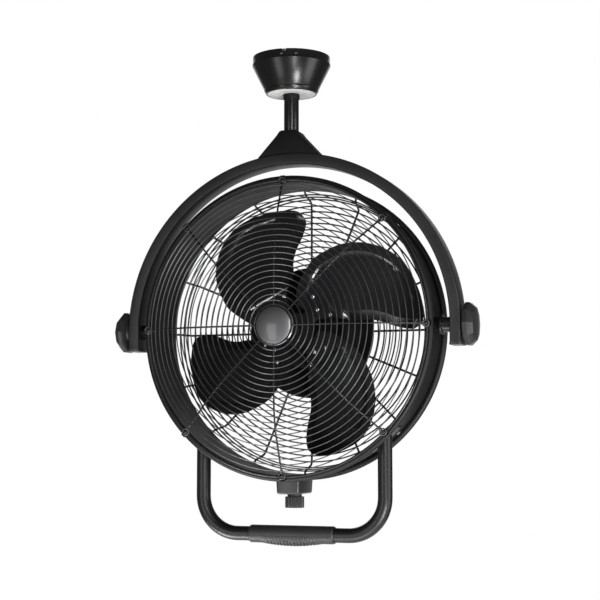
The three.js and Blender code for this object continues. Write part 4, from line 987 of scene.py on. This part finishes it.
def motor_plate(plate):
    """Disc with a raised ring, which carries the motor in the rear grille."""
    bm = turned([(0.020, plate), (0.088, plate), (0.091, plate + 0.0007), (0.108, plate + 0.0007),
                 (0.111, plate), (0.120, plate), (0.120, plate + 0.0025), (0.020, plate + 0.0025)], Y, 120)
    soften(bm, 0.0005, 20.0)
    put(bm, "plate_disc", "head", "matt", "motor_plate")


def motor_dome():
    """Ribbed cover behind the motor plate."""
    low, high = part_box("motor_rear_cover")
    r, back, rear = high.x, low.y, high.y
    bm = turned([(r, back), (r, back + 0.004), (r - 0.003, back + 0.010), (r - 0.010, rear - 0.005),
                 (r - 0.018, rear - 0.0015), (r - 0.026, rear), (0.012, rear), (0.010, rear - 0.001),
                 (0.0, rear - 0.001), (0.0, rear - 0.003), (r - 0.027, rear - 0.0025),
                 (r - 0.012, rear - 0.007), (r - 0.0025, back + 0.003), (r - 0.0025, back)], Y, 96)
    weld(bm)
    soften(bm, 0.0008, 40.0)
    low, high = (r - 0.0085, rear - 0.0055, -0.0008), (r - 0.0245, rear - 0.0008, 0.0008)
    repeated(bm, COVER_RIBS, lambda: box(bm, low, high))
    put(bm, "motor_dome", "head", "plastic", "motor_rear_cover")


class FAN_OT_motor(bpy.types.Operator):
    """Make the motor's shells, its plate and the rear cover"""

    bl_idname = "fan.motor"
    bl_label = "Motor"

    def execute(self, context):
        plate = head().plate
        motor_bell()
        motor_barrel(plate)
        motor_plate(plate)
        motor_dome()
        return {"FINISHED"}


# ---------- yoke and pivots ----------
LEG_RISE = 0.015                 # the ring turns into its straight legs this far above the tilt axis
YOKE_CORNER = 0.0024
CAP_HEIGHT = 0.005
KNOB_SIDES = 10
KNOB_TURN = 18
KNOB_GROOVES = 4
STUD_RADIUS = 0.006


def yoke_line():
    """Radius of the yoke's middle line, the angle at which it ends, and its legs' distance."""
    middle = support().yoke_radius - support().yoke_thick / 2
    start = math.asin(LEG_RISE / middle)
    return middle, start, middle * math.cos(start)


def yoke_tube():
    """Half ring of rounded box tube with two straight legs."""
    size = support()
    middle, start, leg = yoke_line()
    place = about("Y", -math.degrees(start)) @ Matrix.Translation((middle, 0, 0))
    place = place @ Matrix.Diagonal((size.yoke_thick, size.yoke_depth, 1, 1))
    bm = bmesh.new()
    bmesh.ops.create_grid(bm, x_segments=1, y_segments=1, size=0.5, matrix=place)
    bmesh.ops.bevel(
        bm, geom=bm.verts[:], offset=YOKE_CORNER, offset_type="OFFSET", segments=5, profile=0.5,
        affect="VERTICES", clamp_overlap=True, material=-1,
    )
    bmesh.ops.delete(bm, geom=bm.faces[:], context="FACES_ONLY")
    low = bm.edges[:]
    high = edges_in(spun(bm, bm.verts[:], low, -Y, math.pi - 2 * start, 112, False))
    for side, ring in ((1, low), (-1, high)):
        for vert in verts_in(bmesh.ops.extrude_edge_only(bm, edges=ring)["geom"]):
            across = (side * vert.co.x * math.cos(start) + vert.co.z * math.sin(start)) - middle
            vert.co = Vector((side * (leg + across), vert.co.y, -size.yoke_leg))
    put(bm, "yoke_tube", "orbit", "textured", "yoke", sharp=50.0)


def leg_cap(name):
    """Plastic cap under one leg."""
    low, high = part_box(f"yoke_cap_{name}")
    top = -support().yoke_leg - 0.0003
    bm = bmesh.new()
    box(bm, (low.x, low.y, top - CAP_HEIGHT), (high.x, high.y, top))
    soften(bm, 0.0036, segments=4, edges=upright_edges(bm))
    soften(bm, 0.0011, segments=3, edges=edges_below(bm, top - 0.004))
    put(bm, f"leg_cap_{name}", "orbit", "plastic", f"yoke_cap_{name}")


class FAN_OT_yoke(bpy.types.Operator):
    """Make the half-ring yoke and the plastic caps under its legs"""

    bl_idname = "fan.yoke"
    bl_label = "Yoke"

    def execute(self, context):
        yoke_tube()
        leg_cap("left")
        leg_cap("right")
        return {"FINISHED"}


def stub(name, turn, base, inner):
    """Collared stub between the drum and the yoke's leg."""
    bm = turned([(0.0063, base), (0.013, base), (0.013, base + 0.012), (0.017, base + 0.012),
                 (0.017, base + 0.018), (0.013, base + 0.018), (0.013, inner - 0.0003),
                 (0.0063, inner - 0.0003)], X, 64)
    soften(bm, 0.0009, 30.0, 3)
    put(bm, f"stub_{name}", "head", "satin", f"pivot_stub_{name}", turn=turn)


def knob(name, turn, back):
    """Ten-sided knob with fine grooves round its side."""
    r = support().knob_radius
    plate = back + 0.0045
    rim = plate + 0.0085
    face = rim + 0.0095
    profile = [(0.0, back), (0.020, back), (0.0206, plate - 0.001), (r - 0.0045, plate - 0.001),
               (r, plate + 0.002)]
    for groove in range(KNOB_GROOVES):
        at = plate + 0.0028 + groove * 0.0013
        profile += [(r, at), (r - 0.0004, at + 0.0004), (r, at + 0.0008)]
    profile += [(r, rim), (r - 0.009, face), (r - 0.022, face + 0.0013), (0.0, face + 0.002)]
    bm = turned(profile, X, KNOB_SIDES)
    weld(bm)
    bmesh.ops.rotate(bm, verts=bm.verts, cent=(0, 0, 0), matrix=about("X", KNOB_TURN))
    outside = [e for e in bm.edges if min(v.co.x for v in e.verts) > rim - 0.0001]
    outside += [e for e in bm.edges if max(v.co.x for v in e.verts) < plate + 0.0021]
    soften(bm, 0.0006, 12.0, 2, edges=outside)
    put(bm, f"knob_{name}", f"{name}_tilt_knob", "plastic", f"tilt_knob_{name}", sharp=14.0, turn=turn)


class FAN_OT_pivots(bpy.types.Operator):
    """Make the pivot stubs and the two faceted tilt knobs"""

    bl_idname = "fan.pivots"
    bl_label = "Pivots and knobs"

    def execute(self, context):
        half = support().yoke_thick / 2
        leg = yoke_line()[2]
        base = head().drum_radius + 0.0003
        back = leg + half + 0.0003
        for degrees, name in ((180, "left"), (0, "right")):
            turn = about("Z", degrees)
            stub(name, turn, base, leg - half)
            knob(name, turn, back)
            bm = bmesh.new()
            pin(bm, (0, 0, 0), X, STUD_RADIUS, base + 0.005, back + 0.002, 32)
            put(bm, f"stud_{name}", f"{name}_tilt_knob", "steel", turn=turn)
        return {"FINISHED"}


# ---------- ceiling pieces ----------
CEILING = 0.488                  # above the tilt axis
NOTCH_TURN = -80.6
BOLT_TURNS = (-84.7, -63.3, 95.3, 116.7)
ROD_INSIDE = 0.0108


def cut_with(piece, cutter):
    """Takes a cutter out of a piece for good."""
    tool = linked("cutter", mesh_of("cutter", cutter))
    change = piece.modifiers.new("cut", "BOOLEAN")
    change.operation = "DIFFERENCE"
    change.object = tool
    bpy.context.view_layer.update()
    result = bpy.data.meshes.new_from_object(piece.evaluated_get(bpy.context.evaluated_depsgraph_get()))
    piece.modifiers.clear()
    piece.data = result
    bpy.data.objects.remove(tool)


def canopy(base):
    """Conical canopy with a bead at both rims and a notch at the ceiling."""
    top = CEILING
    shell = put(turned([
        (0.0693, top), (0.0693, top - 0.011), (0.0696, top - 0.0122), (0.0702, top - 0.0132),
        (0.0702, top - 0.0156), (0.0493, base + 0.0093), (0.0487, base + 0.0085), (0.0488, base + 0.0076),
        (0.0488, base + 0.0066), (0.0485, base + 0.0056), (0.0477, base + 0.0042), (0.0463, base + 0.0022),
        (0.0457, base + 0.0009), (0.0448, base + 0.0002), (0.0438, base), (0.0434, base + 0.0006),
        (0.0434, base + 0.0018), (0.0378, base + 0.0018), (0.0378, base + 0.0033), (0.0446, base + 0.0033),
        (0.0687, top - 0.0152), (0.0678, top - 0.011), (0.0678, top),
    ], Z, 128), "canopy_shell", "ceiling", "satin", "canopy", sharp=38.0)
    cutter = bmesh.new()
    box(cutter, (0.064, -0.004, top - 0.005), (0.074, 0.004, top + 0.002))
    soften(cutter, 0.0012, segments=3)
    moved(cutter, Matrix.Translation((0, 0, head().tilt_height)) @ about("Z", NOTCH_TURN))
    cut_with(shell, cutter)


def canopy_bolt(number, degrees):
    """Round-headed screw through the canopy's rim."""
    bm = turned([(0.0, 0.0705), (0.0038, 0.0705), (0.0037, 0.0714), (0.0030, 0.0722), (0.0016, 0.0727),
                 (0.0, 0.0727)], X, 28)
    turned(band(0.0, 0.002, 0.0613, 0.0706), X, 16, bm)
    weld(bm)
    bmesh.ops.translate(bm, verts=bm.verts, vec=(0, 0, CEILING - 0.0076))
    put(bm, f"canopy_bolt_{number}", "ceiling", "satin", f"canopy_screw_{number}", turn=about("Z", degrees))


class FAN_OT_ceiling(bpy.types.Operator):
    """Make the canopy, its screws and base disc, the rod and its collar"""

    bl_idname = "fan.ceiling"
    bl_label = "Canopy and rod"

    def execute(self, context):
        base, r = support().canopy_base, support().rod_radius
        canopy(base)
        for i, degrees in enumerate(BOLT_TURNS):
            canopy_bolt(i + 1, degrees)
        bm = turned(band(r + 0.0003, 0.0430, base, base + 0.0015), Z, 96)
        soften(bm, 0.0004)
        put(bm, "base_disc", "ceiling", "pale", "canopy_base_disc")
        low, high = (v.z - head().tilt_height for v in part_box("downrod"))
        bm = turned(band(ROD_INSIDE, r, low, high), Z, 64)
        soften(bm, 0.0004)
        put(bm, "rod_tube", "ceiling", "satin", "downrod")
        bm = turned([(r + 0.0002, base - 0.0083), (r + 0.0009, base - 0.0083), (r + 0.0014, base - 0.0073),
                     (r + 0.0014, base - 0.0003), (r + 0.0002, base - 0.0003)], Z, 64)
        put(bm, "collar", "ceiling", "matt", "rod_collar")
        return {"FINISHED"}


# ---------- hub cover ----------
COVER_HALF = 0.058
COVER_TOP = 0.3535
COVER_DEPTH = 0.019
COVER_SHOULDER = [(0.0215, 0.0085), (0.0185, 0.0042), (0.0160, 0.0012), (0.0125, 0.0)]


class FAN_OT_hub_cover(bpy.types.Operator):
    """Make the tent-shaped cover over the orbit drive"""

    bl_idname = "fan.hub_cover"
    bl_label = "Hub cover"

    def execute(self, context):
        r = support().yoke_radius + 0.0003
        reach = math.degrees(math.asin(COVER_HALF / r))
        turns = [math.radians(-reach + 2 * reach * i / 24) for i in range(25)]
        right = [(x, COVER_TOP - drop) for x, drop in COVER_SHOULDER]
        outline = [(r * math.sin(a), r * math.cos(a)) for a in turns]
        outline += right + [(-x, z) for x, z in reversed(right)]
        bm = bmesh.new()
        slab(bm, outline, -COVER_DEPTH, COVER_DEPTH)
        soften(bm, 0.0013, 60.0, 3)
        put(bm, "drive_cover", "orbit", "matt", "hub_cover", sharp=22.0)
        return {"FINISHED"}


# ---------- handle ----------
LEG_TOP = -0.205
LEG_LOW = -0.235
BEND_STEPS = 16
FOOT_REACH = 7.5                 # degrees to each side of a foot's middle
FOOT_HALF = 0.017
GRIP_HALF = 0.079
GRIP_SEAM = 0.21                 # radians from the parting plane to a half's edge
GRIP_RADIUS = 0.0154
SWELL = 0.0050
SWELL_HALF = 0.056
TOOTH = 0.0022
TOOTH_PITCH = 0.0061
TOOTHED_HALF = 0.0445
DOTS = 13
DOT_PITCH = 0.0063


def handle_tube():
    """Bent tube from foot to foot, its ends shaped to the drum."""
    size = support()
    half, bend, y, bar = size.handle_half, size.handle_bend, size.handle_y, -size.handle_drop
    centre = half - bend
    path = [(-half, y, LEG_TOP), (-half, y, LEG_LOW)]
    for i in range(BEND_STEPS + 1):
        angle = i / BEND_STEPS * math.pi / 2
        path.append((-centre - bend * math.cos(angle), y, bar + bend - bend * math.sin(angle)))
    path += [(-x, y, z) for x, y, z in reversed(path)]
    bm = bmesh.new()
    rod(bm, path, size.handle_radius, 36, caps=False)
    for vert in bm.verts:
        if vert.co.z > LEG_TOP - 0.001:
            vert.co.z = -math.sqrt((head().drum_radius + 0.0012) ** 2 - vert.co.x ** 2)
    put(bm, "handle_tube", "head", "tube", "handle", sharp=40.0)


def foot(name, side):
    """Curved strap that joins one end of the tube to the drum."""
    low = head().drum_radius + 0.0003
    middle = math.degrees(math.acos(support().handle_half / low))
    y = support().handle_y
    bm = turned(band(low, low + 0.0025, y - FOOT_HALF, y + FOOT_HALF), Y, 12, sweep=2 * FOOT_REACH)
    bmesh.ops.holes_fill(bm, edges=bm.edges, sides=4)
    soften(bm, 0.0008, 40.0)
    degrees = 90 - FOOT_REACH + middle if side > 0 else 270 - FOOT_REACH - middle
    put(bm, f"foot_{name}", "head", "tube", turn=about("Y", degrees))


def grip_skin(x, turn, low):
    """A point of the grip's skin; the lower half swells and has finger teeth."""
    radius = GRIP_RADIUS - 0.0016 * max(0.0, 1 - (GRIP_HALF - abs(x)) / 0.003)
    if low:
        down = max(0.0, math.sin(turn)) ** 1.6
        swell = max(0.0, 1 - (x / SWELL_HALF) ** 2)
        tooth = 1.0 if abs(x) < TOOTHED_HALF and (x / TOOTH_PITCH) % 1.0 < 0.42 else 0.0
        radius += down * (SWELL * swell - TOOTH * tooth * swell ** 0.5)
    lift = -math.sin(turn) if low else math.sin(turn)
    gap = -0.00015 if low else 0.00015
    size = support()
    return Vector((x, size.handle_y + radius * math.cos(turn), -size.handle_drop + radius * lift + gap))


def grip_half(name, low):
    bm = bmesh.new()
    bmesh.ops.create_grid(bm, x_segments=158, y_segments=20, size=0.5)
    first = GRIP_SEAM if low else -GRIP_SEAM
    for vert in bm.verts:
        turn = first + (vert.co.y + 0.5) * (math.pi - 2 * first)
        vert.co = grip_skin(vert.co.x * 2 * GRIP_HALF, turn, low)
    bmesh.ops.recalc_face_normals(bm, faces=bm.faces)
    middle = Vector((0, support().handle_y, -support().handle_drop))
    if sum(f.normal.dot(f.calc_center_median() - middle) for f in bm.faces) < 0:
        bmesh.ops.reverse_faces(bm, faces=bm.faces)
    bmesh.ops.solidify(bm, geom=bm.faces[:], thickness=0.0021)
    put(bm, f"grip_{name}_half", "head", "grip", f"grip_{name}", sharp=30.0)


def grip_dots():
    """Row of small raised dots along the lower half."""
    bm = bmesh.new()
    for step in range(DOTS):
        place = Matrix.Translation(grip_skin((step - DOTS // 2) * DOT_PITCH, math.radians(136), True))
        made = bmesh.ops.create_uvsphere(bm, u_segments=12, v_segments=8, radius=0.0012, matrix=place)
        bmesh.ops.translate(bm, verts=made["verts"], vec=(0, 0.0003, 0.0003))
    put(bm, "grip_dots", "head", "wire")


class FAN_OT_handle(bpy.types.Operator):
    """Make the bent tube handle, its feet and the two-part grip"""

    bl_idname = "fan.handle"
    bl_label = "Handle"

    def execute(self, context):
        handle_tube()
        foot("left", -1)
        foot("right", 1)
        grip_half("upper", False)
        grip_half("lower", True)
        grip_dots()
        return {"FINISHED"}


# ---------- controls ----------
BOX_TOP = -0.2572
BOX_WAIST = -0.28
CONTROL_Y = 0.017
DIAL_Y = 0.0175
DIAL_RADIUS = 0.0168
DIAL_HEIGHT = 0.0195
DIAL_FLUTES = 26
DIAL_NECK = 0.0045


def switch_box(low, high, bottom):
    """Moulded box that tapers downwards."""
    bm = bmesh.new()
    for vert in box(bm, (low.x, low.y, bottom), (high.x, high.y, BOX_TOP)):
        if vert.co.z < BOX_WAIST:
            vert.co.x *= 0.93
            vert.co.y = CONTROL_Y + (vert.co.y - CONTROL_Y) * 0.955
    soften(bm, 0.0045, segments=4, edges=upright_edges(bm))
    soften(bm, 0.0036, segments=4, edges=edges_below(bm, BOX_WAIST))
    put(bm, "switch_box", "head", "plastic", "control_box")


def speed_dial(top):
    """Fluted knob with a neck and a shaft that goes up into the box."""
    neck = top - DIAL_NECK
    bm = bmesh.new()
    made = bmesh.ops.create_circle(bm, segments=DIAL_FLUTES * 6, radius=DIAL_RADIUS, cap_ends=True)
    for vert in made["verts"]:
        angle = math.atan2(vert.co.y, vert.co.x) * DIAL_FLUTES
        vert.co *= 1 - 0.11 * max(0.0, math.cos(angle)) ** 2
    out = bmesh.ops.extrude_face_region(bm, geom=bm.faces[:])["geom"]
    bmesh.ops.translate(bm, verts=verts_in(out), vec=(0, 0, DIAL_HEIGHT))
    soften(bm, 0.0009, 60.0, 3)
    bmesh.ops.translate(bm, verts=bm.verts, vec=(0, 0, neck - DIAL_HEIGHT))
    pin(bm, (0, 0, 0), Z, 0.0128, neck - 0.001, top, 48)
    pin(bm, (0, 0, 0), Z, 0.003, neck, top + 0.010, 20)
    bmesh.ops.translate(bm, verts=bm.verts, vec=(0, DIAL_Y, 0))
    put(bm, "speed_dial", "speed_control", "plastic", "speed_knob", sharp=40.0)


class FAN_OT_controls(bpy.types.Operator):
    """Make the control box under the drum and its fluted speed knob"""

    bl_idname = "fan.controls"
    bl_label = "Controls"

    def execute(self, context):
        low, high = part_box("control_box")
        bottom = low.z - head().tilt_height
        switch_box(low, high, bottom)
        speed_dial(bottom - 0.0003)
        return {"FINISHED"}


# ---------- inner pieces ----------
KEPT_NODES = {
    "steel": [
        "ceiling_bracket", "hanger_pin", "orbit_spindle", "orbit_sun_gear", "spindle_nut", "orbit_bearing",
        "hub_frame", "orbit_motor", "orbit_pinion", "motor_bearing_front", "motor_bearing_rear",
        "rotor_core",
    ],
    "matt": ["motor_shaft"],
    "plastic": ["hanger_ball", "speed_switch", "run_capacitor"],
    "winding": ["motor_stator"],
}


class FAN_OT_inner(bpy.types.Operator):
    """Give the drive, the bracket and the motor's inner pieces their finishes"""

    bl_idname = "fan.inner"
    bl_label = "Inner pieces"

    def execute(self, context):
        for finish, nodes in KEPT_NODES.items():
            for name in nodes:
                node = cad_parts[name]
                node.data.materials.clear()
                node.data.materials.append(finish_named(finish))
        return {"FINISHED"}


# ---------- stage ----------
LAMP_AIM = (0.0, 0.0, -0.45)
# place, aim, width, height and radiance of each lamp
LAMPS = {
    "front_lamp": ((-1.04, -2.57, -1.05), LAMP_AIM, 0.9, 1.8, 2.8),
    "side_lamp": ((2.6, -0.2, -0.9), LAMP_AIM, 1.3, 1.9, 3.0),
    "strip_lamp": ((0.80, -1.42, -0.30), (0.0, 0.0, -0.30), 0.16, 0.85, 18.0),
    "low_lamp": ((0.10, -0.75, -1.95), (0.0, 0.0, -0.488), 0.8, 0.6, 4.5),
    "low_right_lamp": ((1.43, -1.55, -1.70), (-0.06, 0.0, -0.43), 0.55, 0.55, 42.0),
    "low_left_lamp": ((-0.65, -0.30, -1.58), (0.15, 0.0, -0.40), 0.35, 0.50, 18.0),
}
WORLD_STRENGTH = 0.10            # for the rays that light the fan
WALL_TOP = 1.6
WALL_FAR = 3.4
WALL_BEND = 0.6
FLOOR_NEAR = -1.6
STAGE_HALF = 1.9


def aimed(thing, place, way):
    """Puts a lamp or camera in its place and turns it to look along a way."""
    thing.location = place
    thing.rotation_euler = way.to_track_quat("-Z", "Y").to_euler()


def lamp(name, place, aim, width, height, radiance):
    """A rectangular lamp that gives the same brightness wherever it is seen from."""
    light = bpy.data.lights.new(name, "AREA")
    light.shape = "RECTANGLE"
    light.size, light.size_y = width, height
    light.energy = math.pi * width * height * radiance
    thing = linked(name, light)
    thing.visible_camera = False
    aimed(thing, place, Vector(aim) - Vector(place))


def backdrop_paper():
    """Pale paper that is plain white to the camera, to clear pieces and in reflections."""
    paper = Shade("backdrop_paper")
    mottle = paper.ramp(paper.noise(3.0, 3.0), 0.3, 0.7)
    paper.set(Base_Color=paper.mixed(mottle, (0.86, 0.86, 0.86, 1), (0.84, 0.84, 0.84, 1)), Roughness=0.9)
    seen = paper.seen_by("Camera", "Transmission", "Glossy")
    glow = paper.value("ShaderNodeEmission", "Emission", None, {"Color": WHITE, "Strength": 1.0})
    plain = Value(paper, paper.surface.outputs["BSDF"])
    mix = paper.value("ShaderNodeMixShader", "Shader", None, {0: seen, 1: plain, 2: glow})
    paper.feed(paper.tree.nodes["Material Output"].inputs["Surface"], mix)
    return paper.material


def make_backdrop(studio):
    """Wall, bend and floor in one sheet behind and under the fan."""
    half, bend = STAGE_HALF, WALL_BEND
    bm = bmesh.new()
    wall = [bm.verts.new((-half, WALL_FAR, z)) for z in (WALL_TOP, studio.floor + bend)]
    bm.edges.new(wall)
    out = bmesh.ops.spin(
        bm, geom=wall[1:], cent=(-half, WALL_FAR - bend, studio.floor + bend), axis=-X, angle=math.pi / 2,
        steps=12, use_merge=False,
    )["geom_last"]
    bm.edges.new((verts_in(out)[0], bm.verts.new((-half, FLOOR_NEAR, studio.floor))))
    ends = bmesh.ops.extrude_edge_only(bm, edges=bm.edges[:])["geom"]
    bmesh.ops.translate(bm, verts=verts_in(ends), vec=(2 * half, 0, 0))
    moved(bm, Matrix.Rotation(studio.azimuth, 4, "Z"))
    for face in bm.faces:
        face.smooth = True
    backdrop = linked("backdrop", mesh_of("backdrop", bm))
    backdrop.data.materials.append(backdrop_paper())


def make_world(scene):
    """Dim white all round, and full white for the camera and clear pieces."""
    world = bpy.data.worlds.new("studio")
    world.use_nodes = True
    scene.world = world
    nodes = Nodes(world.node_tree)
    dim = world.node_tree.nodes["Background"]
    nodes.feed(dim.inputs["Color"], WHITE)
    nodes.feed(dim.inputs["Strength"], WORLD_STRENGTH)
    white = nodes.value("ShaderNodeBackground", "Background", None, {"Color": WHITE, "Strength": 1.0})
    seen = nodes.seen_by("Camera", "Transmission")
    sockets = {0: seen, 1: Value(nodes, dim.outputs["Background"]), 2: white}
    mix = nodes.value("ShaderNodeMixShader", "Shader", None, sockets)
    nodes.feed(world.node_tree.nodes["World Output"].inputs["Surface"], mix)


def make_camera(scene, studio):
    camera = bpy.data.cameras.new("camera")
    camera.lens = studio.lens
    camera.sensor_width = 36.0
    camera.clip_end = 50.0
    a, e = studio.azimuth, studio.elevation
    back_way = Vector((math.sin(a) * math.cos(e), -math.cos(a) * math.cos(e), math.sin(e)))
    scene.camera = linked("camera", camera)
    aimed(scene.camera, Vector(studio.aim) + back_way * studio.distance, -back_way)


class FAN_OT_stage(bpy.types.Operator):
    """Make the floor, the backdrop, the lamps and the camera"""

    bl_idname = "fan.stage"
    bl_label = "Stage"

    def execute(self, context):
        scene = context.scene
        scene.view_settings.view_transform = "Standard"
        make_backdrop(scene.fan_studio)
        make_world(scene)
        for name, (place, aim, width, height, radiance) in LAMPS.items():
            lamp(name, place, aim, width, height, radiance)
        make_camera(scene, scene.fan_studio)
        return {"FINISHED"}


STEPS = (
    FAN_OT_drum, FAN_OT_front_grille, FAN_OT_rear_grille, FAN_OT_badge, FAN_OT_clips, FAN_OT_blades,
    FAN_OT_hub, FAN_OT_motor, FAN_OT_yoke, FAN_OT_pivots, FAN_OT_hub_cover, FAN_OT_ceiling,
    FAN_OT_handle, FAN_OT_controls, FAN_OT_inner, FAN_OT_stage,
)
GROUPS = {
    "fan_head": FanHead, "fan_support": FanSupport, "fan_colours": FanColours, "fan_studio": Studio,
}


class FAN_PT_panel(bpy.types.Panel):
    """Lists the steps that build the fan"""

    bl_label = "Orbital ceiling fan"
    bl_space_type = "VIEW_3D"
    bl_region_type = "UI"
    bl_category = "Fan"

    def draw(self, context):
        for step in STEPS:
            self.layout.operator(step.bl_idname)


def register():
    for group in GROUPS.values():
        bpy.utils.register_class(group)
    for name, group in GROUPS.items():
        setattr(bpy.types.Scene, name, bpy.props.PointerProperty(type=group))
    for step in STEPS:
        bpy.utils.register_class(step)
    bpy.utils.register_class(FAN_PT_panel)


def unregister():
    bpy.utils.unregister_class(FAN_PT_panel)
    for step in reversed(STEPS):
        bpy.utils.unregister_class(step)
    for name, group in GROUPS.items():
        delattr(bpy.types.Scene, name)
        bpy.utils.unregister_class(group)


def main():
    register()
    for step in STEPS:
        area, action = step.bl_idname.split(".")
        getattr(getattr(bpy.ops, area), action)()
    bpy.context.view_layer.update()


if __name__ == "__main__":
    main()
